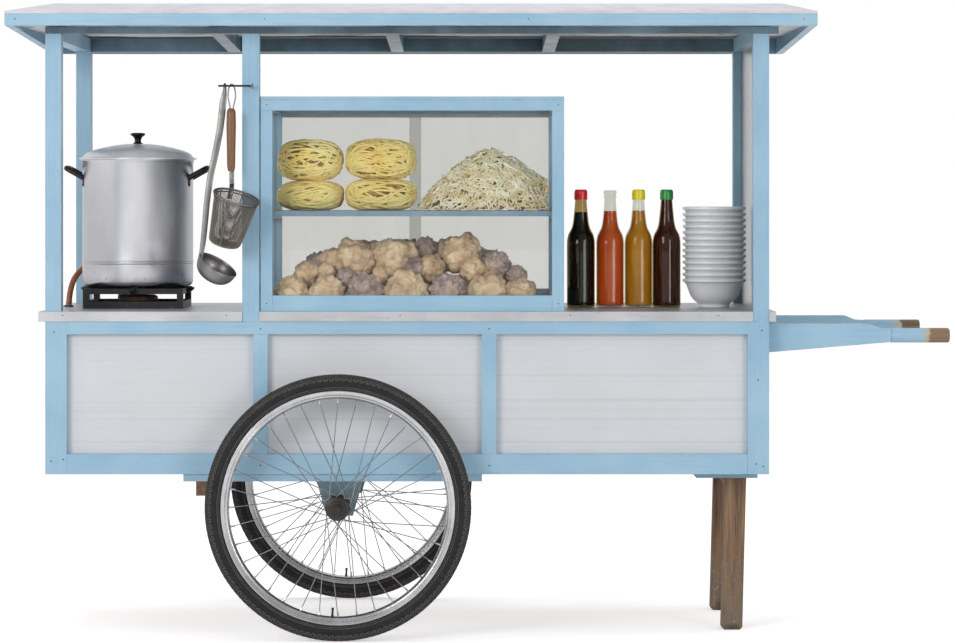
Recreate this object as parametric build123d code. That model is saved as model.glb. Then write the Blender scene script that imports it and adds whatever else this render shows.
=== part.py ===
from build123d import *
import os
from math import cos, pi, radians, sin, tan

# Noodle vendor cart: a two-wheeled hand cart with a boarded body, a roofed counter, a glazed
# display case, a gas stove with a stock pot, and two handles at one end.
# Millimetres. +X points to the handles, +Y to the vendor's side, +Z up.
# The front, where the customers stand, is the -Y side. The ground is at zero height and the
# origin lies on it under the middle of the whole cart.

os.makedirs("parts", exist_ok=True)

# Body: a boarded box under the counter
body_length = 1810
body_depth = 690
body_bottom = 404
counter_height = 811
counter_thickness = 25
frame_board = 20
corner_board_width = 54
stile_width = 37
body_top_rail_height = 32
body_bottom_rail_height = 51
panel_thickness = 6
floor_thickness = 12
# Middles of the stiles, measured from the body's left end
front_stile_places = (538, 1110)
rear_stile_places = (410, 1110)

# Posts and counter edge
post_size = 40
middle_post_width = 43
middle_post_place = 514
counter_overhang = 17
edging_thickness = 9
edging_proud = 3

# Roof: a shallow wedge that rises towards the vendor's side
roof_overhang_left = 84
roof_overhang_right = 108
roof_overhang_front = 128
post_top = 1488
roof_rail_height = 36
front_rail_height = 18
roof_rail_nose = 24
fascia_thickness = 20
front_fascia_bottom = 1520
rear_fascia_bottom = 1489
roof_front_height = 1556
roof_rise = 72
deck_thickness = 6
rafter_width = 34
rafter_top = 1542
ceiling_thickness = 5
# Middles of the rafters, measured from the body's left end
rafter_places = (427, 866, 1272)
end_screen_thickness = 4

# Handles
handle_reach = 458
handle_inner_length = 300
handle_thickness = 38
handle_root_height = 72
handle_drop = 7
handle_neck_reach = 284
grip_diameter = 37

# Wheels, on one fixed axle
wheel_radius = 330
wheel_track = 886
wheel_place = 736
tyre_width = 45
rim_inner_radius = 268.7
rim_depth = 21.3
rim_width = 31
bead_depth = 11.3
hub_length = 88
hub_end_radius = 12
hub_step_radius = 18
hub_flange_inset = 7
hub_flange_radius = 29.5
hub_flange_thickness = 4
hub_barrel_radius = 17
spoke_count = 36
spoke_radius = 1.2
spoke_cross_angle = 60
axle_radius = 10
spindle_radius = 7
spindle_clearance = 0.05
seat_gap = 0.3

# Underside
bearer_width = 45
bearer_height = 18
bearer_start = 345
bearer_end = 1092
bearer_inset = 5
cross_bar_width = 25
cross_bar_height = 36
cross_bar_place = 389
hanger_thickness = 35
hanger_top_width = 115
hanger_foot_width = 66
hanger_foot_drop = 30

# Parking legs; their middle is measured from the body's right end
leg_setback = 74
leg_width = 53
leg_depth = 46
leg_lean = 10
leg_spacing = 400
leg_corner = 7
cleat_width = 74
cleat_reach = 92

# Display case; it runs from the middle post to the first bottle
case_bottle_gap = 16
case_depth = 430
case_height = 538
case_member = 30
case_top_rail = 27
case_bottom_rail = 40
case_roof_thickness = 8
case_post_gap = 2
shelf_height = 252
shelf_thickness = 14
glass_thickness = 4
sliding_glass_thickness = 5
track_wall = 3
track_groove = 6
track_bottom_height = 6
track_top_height = 8
sliding_overlap = 32

# Cabinet doors on the vendor's side
door_thickness = 18
door_gap = 5
hinge_radius = 4
hinge_leaf = 2.3
hinge_leaf_width = 27
hinge_knuckle = 15
hinge_middle_knuckle = 20
hinge_inset = 50
knob_radius = 13
knob_depth = 24

# Stove and pot
stove_place = 197
stove_width = 257
stove_base_height = 18
stove_bar = 16
trivet_height = 55
trivet_bar = 14
trivet_arm_width = 12
trivet_arm_rise = 4
trivet_nose = 20
burner_radius = 52
burner_top = 32
burner_bar_width = 24
burner_bar_thickness = 6
inlet_radius = 6
pot_radius = 143.5
pot_wall = 2
pot_height = 330
pot_bead_height = 60
pot_corner = 8
pot_lip = 3
lid_radius = 152.5
lid_rim_height = 10
lid_dome_height = 30
# Shares of the lid's radius, and of the dome's height below its top
lid_dome_points = ((0.25, 0.07), (0.6, 0.4), (0.865, 0.8))
knob_height = 28
pot_knob_radius = 19.5
pot_handle_radius = 7
pot_handle_reach = 38
pot_handle_span = 86
pot_handle_bend = 14
# Heights of the loops' feet and grips below the pot's rim
pot_handle_foot_drop = 50
pot_handle_grip_drop = 24

# Gas hose from the counter to the stove
hose_diameter = 15
grommet_radius = 13
hose_clearance = 0.3
# Points of the hose: x and y from the pot's middle, z from the counter top
hose_route = (
    (-181, 12, 6),
    (-179, 16, 57),
    (-153, 62, 101),
    (-105, 130, 127),
    (-64, 166, 92),
    (-63, 167, 41),
)

# Hanging tools; their rod is a fixed drop below the top of the middle post
rod_radius = 2.5
rod_drop = 114
rod_reach = 42
rod_length = 78
rod_bend = 10
ladle_place = 64
ladle_wire_radius = 3
ladle_drop = 424
ladle_strap_top_width = 17
ladle_strap_foot_width = 9
ladle_strap_thickness = 3
ladle_foot_offset = 60
ladle_bowl_radius = 52
ladle_bowl_depth = 44
ladle_bowl_wall = 2
ladle_bowl_tilt = 32
ladle_bowl_lean = 14
strainer_place = 46
strainer_wire_radius = 2
strainer_loop_height = 56
strainer_loop_half_width = 7
strainer_grip_length = 156
strainer_grip_radius = 12
strainer_neck_length = 45
strainer_neck_width = 14
strainer_neck_thickness = 3
strainer_basket_offset = 21
strainer_rim_radius = 56
strainer_base_radius = 39
strainer_depth = 126
strainer_tilt = 16
strainer_lean = 15
strainer_wall = 1.5
strainer_rim_band = 3
strainer_rim_height = 7

# Food in the case: noodle bundles, a heap of bean sprouts and a heap of meatballs
# Middle and width as shares of the case's clear width, bottom above the shelf and height
noodle_table = (
    (0.1243, 0.2371, 76, 104),
    (0.1243, 0.2400, 0, 76),
    (0.3814, 0.2571, 80, 102),
    (0.3814, 0.2586, 0, 80),
)
noodle_depth = 150
noodle_middle_y = -175
sprout_edge = 5
sprout_share = 0.4771
sprout_depth = 250
sprout_height = 170
meatball_radius = 46
meatball_pitch = 96
# Rows: how far behind the case's front, how high, and how far clear of the case's sides
meatball_rows = (
    (85, 40, 6),
    (150, 46, 52),
    (214, 44, 6),
    (116, 106, 54),
    (184, 112, 50),
    (150, 166, 140),
)

# Bottles and bowls
bottle_radius = 36.5
bottle_height = 306
bottle_shoulder_height = 172
bottle_neck_start = 206
bottle_throat_radius = 23.5
bottle_neck_radius = 15
bottle_lip_height = 10
bottle_cap_height = 26
bottle_cap_radius = 17
bottle_heel = 4
# Middle from the body's right end, and whether the bottle still has its cap
bottle_table = ((460, True), (384, False), (310, True), (237, True))
bowl_setback = 113
bowl_radius = 82.5
bowl_foot_radius = 39
bowl_height = 74
bowl_pitch = 15.6
bowl_count = 13
bowl_wall = 3.5
bowl_foot_height = 9
bowl_foot_ring = 5
bowl_foot_recess = 3

# Values worked out from the sizes above
body_left = (roof_overhang_left - handle_reach) / 2 - body_length / 2
body_right = body_left + body_length
body_front = -body_depth / 2
body_back = body_depth / 2
counter_bottom = counter_height - counter_thickness
handle_top = counter_bottom - handle_drop
roof_rail_top = post_top + roof_rail_height
front_post_top = roof_rail_top - front_rail_height
roof_left = body_left - roof_overhang_left
roof_right = body_right + roof_overhang_right
roof_front = body_front - roof_overhang_front
roof_back = -roof_front
post_inner_y = body_back - post_size
post_left = (body_left, body_left + post_size)
post_right = (body_right - post_size, body_right)
middle_post_x = (
    body_left + middle_post_place - middle_post_width / 2,
    body_left + middle_post_place + middle_post_width / 2,
)
panel_face = body_back - frame_board
counter_left = body_left - counter_overhang
counter_right = body_right + counter_overhang
edging_outer_y = body_back + edging_proud
edging_inner_y = edging_outer_y - edging_thickness
underside = body_bottom - bearer_height
wheel_x = body_left + wheel_place
wheel_y = wheel_track / 2
case_left = middle_post_x[1] + case_post_gap
case_right = body_right - bottle_table[0][0] - bottle_radius - case_bottle_gap
case_inner_width = case_right - case_left - 2 * case_member
case_front = -edging_inner_y
case_back = case_front + case_depth
case_top = counter_height + case_height
shelf_top = counter_height + shelf_height
case_glass_bottom = counter_height + case_bottom_rail
case_glass_top = case_top - case_roof_thickness - case_top_rail
handle_y = post_inner_y - handle_thickness / 2
pot_x = body_left + stove_place
pot_bottom = counter_height + trivet_height
pot_top = pot_bottom + pot_height
rod_height = post_top - rod_drop

parts = {}


def block(x, y, z):
    """A square-edged board between two values along each axis."""
    centre = ((x[0] + x[1]) / 2, (y[0] + y[1]) / 2, (z[0] + z[1]) / 2)
    return Pos(*centre) * Box(x[1] - x[0], y[1] - y[0], z[1] - z[0])


def prism(outline, low, high, along):
    """A flat outline in the other two axes, extruded between two values along one axis."""
    place = {
        "X": lambda a, b: (low, a, b),
        "Y": lambda a, b: (a, low, b),
        "Z": lambda a, b: (a, b, low),
    }[along]
    direction = {"X": (1, 0, 0), "Y": (0, 1, 0), "Z": (0, 0, 1)}[along]
    face = make_face(Polyline(*[place(a, b) for a, b in outline], close=True))
    return extrude(face, amount=high - low, dir=direction)


def turned(outline, axis):
    """Radius and height pairs turned about the Z axis, or about the Y axis."""
    if axis == "Z":
        points = [(r, 0, h) for r, h in outline]
        return revolve(make_face(Polyline(*points, close=True)), Axis.Z)
    points = [(r, h, 0) for r, h in outline]
    return revolve(make_face(Polyline(*points, close=True)), Axis.Y)


def rod(start, end, radius):
    """A round bar between two points."""
    line = Vector(*end) - Vector(*start)
    return Solid.make_cylinder(radius, line.length, Plane(origin=start, z_dir=line))


def bent_bar(points, bend, radius):
    """A round bar along straight runs joined by bends."""
    path = FilletPolyline(*points, radius=bend)
    section = Plane(origin=points[0], z_dir=Vector(*points[1]) - Vector(*points[0])) * Circle(radius)
    return sweep(section, path=path)


def mirrored(shape):
    """A shape and its copy on the other side of the cart."""
    return [shape, mirror(shape, Plane.XZ)]


def gather(shapes):
    """Separate solids that share one node."""
    return Compound([solid for shape in shapes for solid in shape.solids()])


def along_body(place, width):
    """The two sides of a member whose middle is measured from the body's left end."""
    middle = body_left + place
    return (middle - width / 2, middle + width / 2)


def make_body():
    """Posts, frame boards, panels and floor of the body."""
    board_front = (body_front, body_front + frame_board)
    board_back = (panel_face, body_back)
    top_rail = (counter_bottom - body_top_rail_height, counter_bottom)
    bottom_rail = (body_bottom, body_bottom + body_bottom_rail_height)
    between_rails = (bottom_rail[1], top_rail[0])
    panel_height = (body_bottom + floor_thickness, counter_bottom)

    # The corner boards run the full height, so the long rails stop at them
    corner_boards = ((body_left, body_left + corner_board_width),
                     (body_right - corner_board_width, body_right))
    rail_x = (corner_boards[0][1], corner_boards[1][0])
    stiles = []
    for face, places in ((board_front, front_stile_places), (board_back, rear_stile_places)):
        stiles += [block(x, face, (body_bottom, counter_bottom)) for x in corner_boards]
        stiles += [block(along_body(place, stile_width), face, between_rails) for place in places]
    parts["body_stiles"] = gather(stiles)
    long_rails = [
        block(rail_x, face, z) for face in (board_front, board_back) for z in (top_rail, bottom_rail)
    ]

    # End rails lie between the corner posts; the handles pass through the right-hand top rail
    end_y = (-post_inner_y, post_inner_y)
    left_board = (body_left, body_left + frame_board)
    right_board = (body_right - frame_board, body_right)
    handle_sides = (handle_y - handle_thickness / 2, handle_y + handle_thickness / 2)
    handle_slots = mirrored(
        block((left_board[1], body_right), handle_sides, (handle_top - handle_root_height, handle_top))
    )
    end_rails = [block(x, end_y, z) for x in (left_board, right_board) for z in (top_rail, bottom_rail)]
    end_rails = [rail - handle_slots[0] - handle_slots[1] for rail in end_rails]
    parts["body_rails"] = gather(long_rails + end_rails)
    left_panel = block((left_board[1], left_board[1] + panel_thickness), end_y, panel_height)
    right_panel = block((right_board[0] - panel_thickness, right_board[0]), end_y, panel_height)
    panels = [left_panel, right_panel - handle_slots[0] - handle_slots[1]]

    # Front panels meet behind the stiles; the back has one fixed panel between two door openings
    edges = [post_left[1]] + [body_left + place for place in front_stile_places] + [post_right[0]]
    front_y = (-panel_face, -panel_face + panel_thickness)
    joint_gap = 1
    panels += [
        block((low + joint_gap / 2, high - joint_gap / 2), front_y, panel_height)
        for low, high in zip(edges, edges[1:])
    ]
    rear_y = (panel_face - panel_thickness, panel_face)
    panels.append(block(
        (body_left + rear_stile_places[0], body_left + rear_stile_places[1]), rear_y, panel_height
    ))
    parts["body_panels"] = gather(panels)
    parts["floor_board"] = block(
        (left_board[1], right_board[0]), (-panel_face, panel_face),
        (body_bottom, body_bottom + floor_thickness),
    ) - corner_post_lower_parts()


def corner_post_lower_parts():
    """The thinner lower ends of the four posts, behind the corner boards."""
    lower = []
    for x in (post_left, post_right):
        lower += mirrored(block(x, (post_inner_y, panel_face), (body_bottom, counter_bottom)))
    return lower


def make_posts_and_counter():
    """Posts, counter board and the strip round its edge."""
    edge_z = (counter_bottom, counter_height)
    front_edge = (-edging_outer_y, -edging_inner_y)
    strip_ends = ((counter_left, middle_post_x[0]), (middle_post_x[1], post_right[0]),
                  (body_right, counter_right))
    front_strips = [block(x, front_edge, edge_z) for x in strip_ends]
    back_strip = block((counter_left, counter_right), (edging_inner_y, edging_outer_y), edge_z)
    end_width = counter_overhang / 3
    left_end = block((counter_left, counter_left + end_width), (-edging_inner_y, edging_inner_y), edge_z)
    right_end = block((counter_right - end_width, counter_right), (-edging_inner_y, edging_inner_y), edge_z)
    edging = front_strips[0] + left_end + back_strip + right_end + front_strips[2]
    parts["counter_edging"] = gather([edging, front_strips[1]])

    # The posts are halved behind the corner boards and housed where the edge strip passes them
    upper = []
    for x in (post_left, post_right):
        upper.append(block(x, (post_inner_y, body_back), (counter_bottom, post_top)))
        upper.append(block(x, (body_front, -post_inner_y), (counter_bottom, front_post_top)))
    posts = [top + low - edging for top, low in zip(upper, corner_post_lower_parts())]
    middle_post = block(middle_post_x, (body_front, -post_inner_y), (counter_bottom, front_post_top))
    parts["posts"] = gather(posts + [middle_post])

    board = block(
        (counter_left + end_width, counter_right - end_width), (-edging_inner_y, edging_inner_y), edge_z
    )
    hose_hole = Pos(pot_x + hose_route[0][0], hose_route[0][1], counter_height) * Cylinder(
        hose_diameter / 2 + 2, 4 * counter_thickness
    )
    parts["counter_top"] = board - upper - middle_post - hose_hole
    parts["end_screen"] = block(
        (body_right - post_size / 2, body_right - post_size / 2 + end_screen_thickness),
        (-post_inner_y, post_inner_y), (counter_height, post_top),
    )


def deck_underside(y):
    """Height of the sloping deck's underside at a place across the cart."""
    slope = roof_rise / (roof_back - roof_front)
    return roof_front_height - deck_thickness + slope * (y - roof_front)


def make_roof():
    """Rails on the posts, notched rafters, ceiling, fascia boards and the sloping deck."""
    rail_x = (body_left, body_right + roof_rail_nose)
    rail_z = (post_top, roof_rail_top)
    rear_rail = block(rail_x, (post_inner_y, body_back), rail_z)
    front_rail = block(rail_x, (body_front, -post_inner_y), (front_post_top, roof_rail_top))
    parts["roof_long_rails"] = gather([rear_rail, front_rail])
    parts["roof_side_rails"] = gather(
        [block(x, (-post_inner_y, post_inner_y), rail_z) for x in (post_left, post_right)]
    )

    # A rafter lies on the front rail, deepens towards the rear one and is notched over it
    inner_y = roof_back - fascia_thickness
    rear_tip = rear_fascia_bottom + roof_rail_height / 6
    shoulder = post_top + roof_rail_height / 3
    rafter_outline = (
        (-inner_y, rafter_top), (-inner_y, roof_rail_top), (-post_inner_y, roof_rail_top),
        (-post_inner_y, front_post_top), (post_inner_y, post_top), (post_inner_y, roof_rail_top),
        (body_back, roof_rail_top), (body_back, shoulder), (inner_y, rear_tip), (inner_y, rafter_top),
    )
    rafters = [
        prism(rafter_outline, *along_body(place, rafter_width), "X") for place in rafter_places
    ]
    parts["rafters"] = gather(rafters)
    parts["ceiling"] = block(
        (roof_left + fascia_thickness, roof_right - fascia_thickness), (-inner_y, inner_y),
        (rafter_top, rafter_top + ceiling_thickness),
    )

    front = prism(
        ((roof_front, front_fascia_bottom), (-inner_y, front_fascia_bottom),
         (-inner_y, deck_underside(-inner_y)), (roof_front, deck_underside(roof_front))),
        roof_left, roof_right, "X",
    )
    back = prism(
        ((inner_y, rear_fascia_bottom), (roof_back, rear_fascia_bottom),
         (roof_back, deck_underside(roof_back)), (inner_y, deck_underside(inner_y))),
        roof_left, roof_right, "X",
    )
    parts["roof_fascias"] = gather([front, back])
    side_outline = (
        (-inner_y, front_fascia_bottom), (inner_y, rear_fascia_bottom),
        (inner_y, deck_underside(inner_y)), (-inner_y, deck_underside(-inner_y)),
    )
    parts["roof_side_boards"] = gather([
        prism(side_outline, roof_left, roof_left + fascia_thickness, "X"),
        prism(side_outline, roof_right - fascia_thickness, roof_right, "X"),
    ])
    parts["roof_deck"] = prism(
        ((roof_front, deck_underside(roof_front)), (roof_back, deck_underside(roof_back)),
         (roof_back, deck_underside(roof_back) + deck_thickness), (roof_front, roof_front_height)),
        roof_left, roof_right, "X",
    )


def make_case():
    """The glazed case: stiles, rails, roof, shelf, fixed panes and door tracks."""
    face_front = (case_front, case_front + case_member)
    face_back = (case_back - case_member, case_back)
    left = (case_left, case_left + case_member)
    right = (case_right - case_member, case_right)
    rail_top = case_glass_top + case_top_rail
    between_y = (face_front[1], face_back[0])
    opening_x = (left[1], right[0])

    stile_z = (counter_height, case_glass_top)
    parts["case_stiles"] = gather(
        [block(x, y, stile_z) for x in (left, right) for y in (face_front, face_back)]
    )
    rails = []
    for y in (face_front, face_back):
        rails.append(block((case_left, case_right), y, (case_glass_top, rail_top)))
        rails.append(block(opening_x, y, (counter_height, case_glass_bottom)))
    parts["case_rails"] = gather(rails)
    side_rail_heights = (
        (counter_height, case_glass_bottom),
        (shelf_top - 1.5 * shelf_thickness, shelf_top + shelf_thickness / 2),
        (case_glass_top, rail_top),
    )
    parts["case_side_rails"] = gather(
        [block(x, between_y, z) for x in (left, right) for z in side_rail_heights]
    )
    parts["case_roof"] = block((case_left, case_right), (case_front, case_back), (rail_top, case_top))

    pane_offset = (case_member - glass_thickness) / 2
    pane_y = (case_front + pane_offset, case_front + pane_offset + glass_thickness)
    panes = [block(opening_x, pane_y, (case_glass_bottom, case_glass_top))]
    for x in (left, right):
        pane_x = (x[0] + pane_offset, x[0] + pane_offset + glass_thickness)
        panes.append(block(pane_x, between_y, (side_rail_heights[0][1], side_rail_heights[1][0])))
        panes.append(block(pane_x, between_y, (side_rail_heights[1][1], side_rail_heights[2][0])))
    parts["case_glass"] = gather(panes)
    parts["case_shelf"] = block(
        opening_x, (pane_y[1] + seat_gap, face_back[0] - track_wall),
        (shelf_top - shelf_thickness, shelf_top),
    )

    # Two glass doors run in the grooves between three low walls at the bottom and the top
    pitch = track_wall + track_groove
    first_wall = face_back[0] + (case_member - 2 * pitch - track_wall) / 2
    walls = []
    for index in range(3):
        y = (first_wall + index * pitch, first_wall + index * pitch + track_wall)
        walls.append(block(opening_x, y, (case_glass_bottom, case_glass_bottom + track_bottom_height)))
        walls.append(block(opening_x, y, (case_glass_top - track_top_height, case_glass_top)))
    parts["case_door_tracks"] = gather(walls)

    play = (track_groove - sliding_glass_thickness) / 2
    door_width = (opening_x[1] - opening_x[0] + sliding_overlap) / 2 - 2 * play
    door_z = (case_glass_bottom + seat_gap, case_glass_top - track_top_height / 4)
    door_places = (
        ("case_door_left", opening_x[0] + play, 0, 1),
        ("case_door_right", opening_x[1] - play - door_width, 1, -1),
    )
    pull_width = 22
    pull_height = 70
    pull_depth = 2
    for name, low_x, groove, pull_side in door_places:
        low_y = first_wall + groove * pitch + track_wall + play
        pane = block((low_x, low_x + door_width), (low_y, low_y + sliding_glass_thickness), door_z)
        # The finger pull is ground into the vendor's face near the outer edge
        pull_x = low_x + door_width / 2 - pull_side * (door_width / 2 - 2 * pull_width)
        pull = block(
            (pull_x - pull_width / 2, pull_x + pull_width / 2),
            (low_y + sliding_glass_thickness - pull_depth, low_y + sliding_glass_thickness),
            (shelf_top - pull_height / 2, shelf_top + pull_height / 2),
        )
        parts[name] = pane - pull


def hinge_places(opening_z):
    """Middles of a door's two hinges."""
    return (opening_z[0] + hinge_inset, opening_z[1] - hinge_inset)


def make_cabinet_doors():
    """Three flush doors on the vendor's side, each on two butt hinges."""
    opening_z = (body_bottom + body_bottom_rail_height, counter_bottom - body_top_rail_height)
    left_edge = body_left + corner_board_width
    left_stile = along_body(rear_stile_places[0], stile_width)[0]
    right_stile = along_body(rear_stile_places[1], stile_width)[1]
    right_edge = body_right - corner_board_width
    middle = (right_stile + right_edge) / 2
    # Name, opening from and to, and on which side the hinges are
    table = (
        ("cabinet_door_left", left_edge, left_stile, -1),
        ("cabinet_door_middle", right_stile, middle, -1),
        ("cabinet_door_right", middle, right_edge, 1),
    )
    axis_y = body_back + hinge_radius + seat_gap
    frame_leaves = []
    for name, low, high, side in table:
        low_gap = door_gap if low != middle else door_gap / 2
        high_gap = door_gap if high != middle else door_gap / 2
        door = block(
            (low + low_gap, high - high_gap), (body_back - door_thickness, body_back),
            (opening_z[0] + door_gap, opening_z[1] - door_gap),
        )
        hinge_x = (low + door_gap / 2) if side < 0 else (high - door_gap / 2)
        for z in hinge_places(opening_z):
            half = hinge_middle_knuckle / 2
            leaf_z = (z - half - seat_gap - hinge_knuckle, z + half + seat_gap + hinge_knuckle)
            leaf_start = hinge_radius + 2 * seat_gap
            # The door's leaf and its middle knuckle
            door_leaf = block(
                sorted((hinge_x - side * leaf_start, hinge_x - side * hinge_leaf_width)),
                (body_back, body_back + hinge_leaf), leaf_z,
            )
            door_tab = block(
                sorted((hinge_x, hinge_x - side * (leaf_start + 1))),
                (body_back + seat_gap, body_back + hinge_leaf), (z - half, z + half),
            )
            knuckle = rod((hinge_x, axis_y, z - half), (hinge_x, axis_y, z + half), hinge_radius)
            door = door + door_leaf + door_tab + knuckle
            # The frame's leaf and its two outer knuckles
            leaf = block(
                sorted((hinge_x + side * leaf_start, hinge_x + side * hinge_leaf_width)),
                (body_back, body_back + hinge_leaf), leaf_z,
            )
            for outer_z in ((leaf_z[0], leaf_z[0] + hinge_knuckle), (leaf_z[1] - hinge_knuckle, leaf_z[1])):
                leaf += block(
                    sorted((hinge_x, hinge_x + side * (leaf_start + 1))),
                    (body_back + seat_gap, body_back + hinge_leaf), outer_z,
                )
                leaf += rod((hinge_x, axis_y, outer_z[0]), (hinge_x, axis_y, outer_z[1]), hinge_radius)
            frame_leaves.append(leaf)
        knob_x = (high - 2.5 * knob_radius) if side < 0 else (low + 2.5 * knob_radius)
        knob = turned(
            ((0, 0), (knob_radius / 2, 0), (knob_radius / 2, knob_depth / 3), (knob_radius, knob_depth / 2),
             (knob_radius, knob_depth - 4), (knob_radius - 4, knob_depth), (0, knob_depth)), "Y",
        )
        parts[name] = door + Pos(knob_x, body_back, sum(opening_z) / 2) * knob
    parts["door_hinges"] = gather(frame_leaves)


def make_underside():
    """Bearers, cross bar, axle hangers, axle, cleats and legs."""
    bearer_y = (body_back - bearer_inset - bearer_width, body_back - bearer_inset)
    bearer_x = (body_left + bearer_start, body_left + bearer_end)
    bearers = mirrored(block(bearer_x, bearer_y, (underside, body_bottom)))
    cross_bar = block(
        along_body(cross_bar_place, cross_bar_width), (-bearer_y[1], bearer_y[1]),
        (underside - cross_bar_height, underside),
    )

    foot = wheel_radius - hanger_foot_drop
    outline = (
        (wheel_x - hanger_top_width / 2, underside), (wheel_x + hanger_top_width / 2, underside),
        (wheel_x + hanger_foot_width / 2, foot), (wheel_x - hanger_foot_width / 2, foot),
    )
    hanger_y = (bearer_y[1] - hanger_thickness, bearer_y[1])
    hole = rod((wheel_x, 0, wheel_radius), (wheel_x, 2 * body_back, wheel_radius), axle_radius + 0.1)
    parts["axle_hangers"] = gather(mirrored(prism(outline, *hanger_y, "Y") - hole))

    # The axle steps down to a spindle in each hub and ends in a nut
    shoulder = wheel_y - hub_length / 2 - seat_gap
    nut_start = wheel_y + hub_length / 2 + seat_gap
    nut_length = 8
    tip = nut_start + nut_length + 4
    shaft = rod((wheel_x, -shoulder, wheel_radius), (wheel_x, shoulder, wheel_radius), axle_radius)
    shaft += rod((wheel_x, -tip, wheel_radius), (wheel_x, tip, wheel_radius), spindle_radius)
    nut_profile = RegularPolygon(radius=1.7 * spindle_radius, side_count=6)
    for start in (nut_start, -nut_start - nut_length):
        nut_plane = Plane(origin=(wheel_x, start, wheel_radius), z_dir=(0, 1, 0))
        shaft += extrude(nut_plane * nut_profile, amount=nut_length)
    parts["axle"] = shaft

    leg_place = body_length - leg_setback
    leg_x = along_body(leg_place, leg_width)
    leg_y = (leg_spacing / 2 - leg_depth / 2, leg_spacing / 2 + leg_depth / 2)
    leg_outline = (
        (leg_x[0], underside), (leg_x[1], underside), (leg_x[1] - leg_lean, leg_corner),
        (leg_x[1] - leg_lean - leg_corner, 0), (leg_x[0] - leg_lean + leg_corner, 0),
        (leg_x[0] - leg_lean, leg_corner),
    )
    parts["legs"] = gather(mirrored(prism(leg_outline, *leg_y, "Y")))
    cleat_y = (leg_spacing / 2 - cleat_width / 2, leg_spacing / 2 + cleat_width / 2)
    cleat_outline = (
        (leg_x[0] - cleat_reach + bearer_height, underside), (body_right - frame_board, underside),
        (body_right - frame_board, body_bottom), (leg_x[0] - cleat_reach, body_bottom),
    )
    parts["bearers"] = gather(bearers + mirrored(prism(cleat_outline, *cleat_y, "Y")))
    bar_x = along_body(leg_place, cross_bar_width)
    leg_bar = block(bar_x, (-leg_y[0], leg_y[0]), (underside - cross_bar_height, underside))
    parts["cross_bars"] = gather([cross_bar, leg_bar])


def make_handles():
    """Two long timbers that run in under the counter and end in round grips."""
    root_x = body_right - handle_inner_length
    neck_x = body_right + handle_neck_reach
    tip_x = body_right + handle_reach
    grip_z = handle_top - handle_root_height / 6 - grip_diameter / 2 + 1
    neck_bottom = grip_z - grip_diameter / 2
    shoulder = 26
    blade_outline = (
        (root_x, handle_top), (neck_x - shoulder, handle_top), (neck_x, grip_z + grip_diameter / 2),
        (neck_x + shoulder, grip_z + grip_diameter / 2 - 2), (neck_x + shoulder, neck_bottom + 2),
        (neck_x, neck_bottom), (body_right, handle_top - handle_root_height),
        (root_x, handle_top - handle_root_height),
    )
    blade = prism(
        blade_outline, handle_y - handle_thickness / 2, handle_y + handle_thickness / 2, "Y"
    )
    grip = rod((neck_x + shoulder, handle_y, grip_z), (tip_x, handle_y, grip_z), grip_diameter / 2)
    handle = blade + grip
    handle = chamfer(handle.faces().sort_by(Axis.X)[-1].edges(), 3)
    parts["handles"] = gather(mirrored(handle))


def make_wheel(name, centre_y):
    """One wire wheel: tyre, rim, spokes and hub, turned about the axle's line."""
    rim_top = rim_inner_radius + rim_depth
    half = rim_width / 2
    # Radius and distance from the middle plane, all the way round one half
    rim_half_outline = (
        (rim_inner_radius, half - 6.5), (rim_inner_radius + 6.3, half - 0.5), (rim_top, half),
        (rim_top, half - 2.7), (rim_inner_radius + 9.3, half - 3.1), (rim_inner_radius + 4.3, half - 7.5),
    )
    rim = turned(closed_by_mirror(rim_half_outline), "Y")

    bead = rim_top - bead_depth
    wide = tyre_width / 2
    tyre_half_outline = (
        (bead, half - 4), (rim_top + 0.5, half - 3.2), (rim_top + 0.5, half + 0.6),
        (rim_top + 9, wide - 1.5), (rim_top + 18, wide), (wheel_radius - 11, wide - 3.5),
        (wheel_radius - 3.5, wide - 10), (wheel_radius, wide - 17.5),
    )
    tyre = turned(closed_by_mirror(tyre_half_outline), "Y")

    end = hub_length / 2
    flange = end - hub_flange_inset
    bore = spindle_radius + spindle_clearance
    hub_half_outline = (
        (bore, end), (hub_end_radius, end), (hub_end_radius, (end + flange + 1) / 2),
        (hub_step_radius, flange + 1), (hub_step_radius, flange),
        (hub_flange_radius, flange), (hub_flange_radius, flange - hub_flange_thickness),
        (hub_barrel_radius + 3, flange - hub_flange_thickness),
        (hub_barrel_radius, flange - hub_flange_thickness - 6),
    )
    hub = turned(closed_by_mirror(hub_half_outline), "Y")

    # Crossed lacing: half of each flange's spokes lean one way from its inner face,
    # and half lean the other way from its edge
    inner_face = flange - hub_flange_thickness
    spokes = []
    for index in range(spoke_count):
        side = 1 if index % 2 == 0 else -1
        from_edge = (index // 2) % 2 == 1
        rim_angle = index * 360 / spoke_count
        hub_angle = rim_angle + (-spoke_cross_angle if from_edge else spoke_cross_angle)
        hub_radius = hub_flange_radius + spoke_radius + seat_gap if from_edge else hub_flange_radius - 4.5
        hub_side = inner_face + (1.8 if from_edge else -spoke_radius - seat_gap)
        rim_side = 5.2 if from_edge else 1.8
        rim_end = rim_inner_radius - seat_gap
        start = polar(hub_radius, hub_angle, side * hub_side)
        finish = polar(rim_end, rim_angle, side * rim_side)
        spokes.append(rod(start, finish, spoke_radius))

    place = Pos(wheel_x, centre_y, wheel_radius)
    parts[name + "_tyre"] = place * tyre
    parts[name + "_rim"] = place * rim
    parts[name + "_hub"] = place * hub
    parts[name + "_spokes"] = place * Compound(spokes)


def closed_by_mirror(half_outline):
    """A half outline of radius and offset pairs, closed by its mirror image."""
    return tuple(half_outline) + tuple((r, -offset) for r, offset in reversed(half_outline))


def polar(radius, angle, offset):
    """A point on a circle about the Y axis."""
    return (radius * cos(radians(angle)), offset, radius * sin(radians(angle)))


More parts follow.
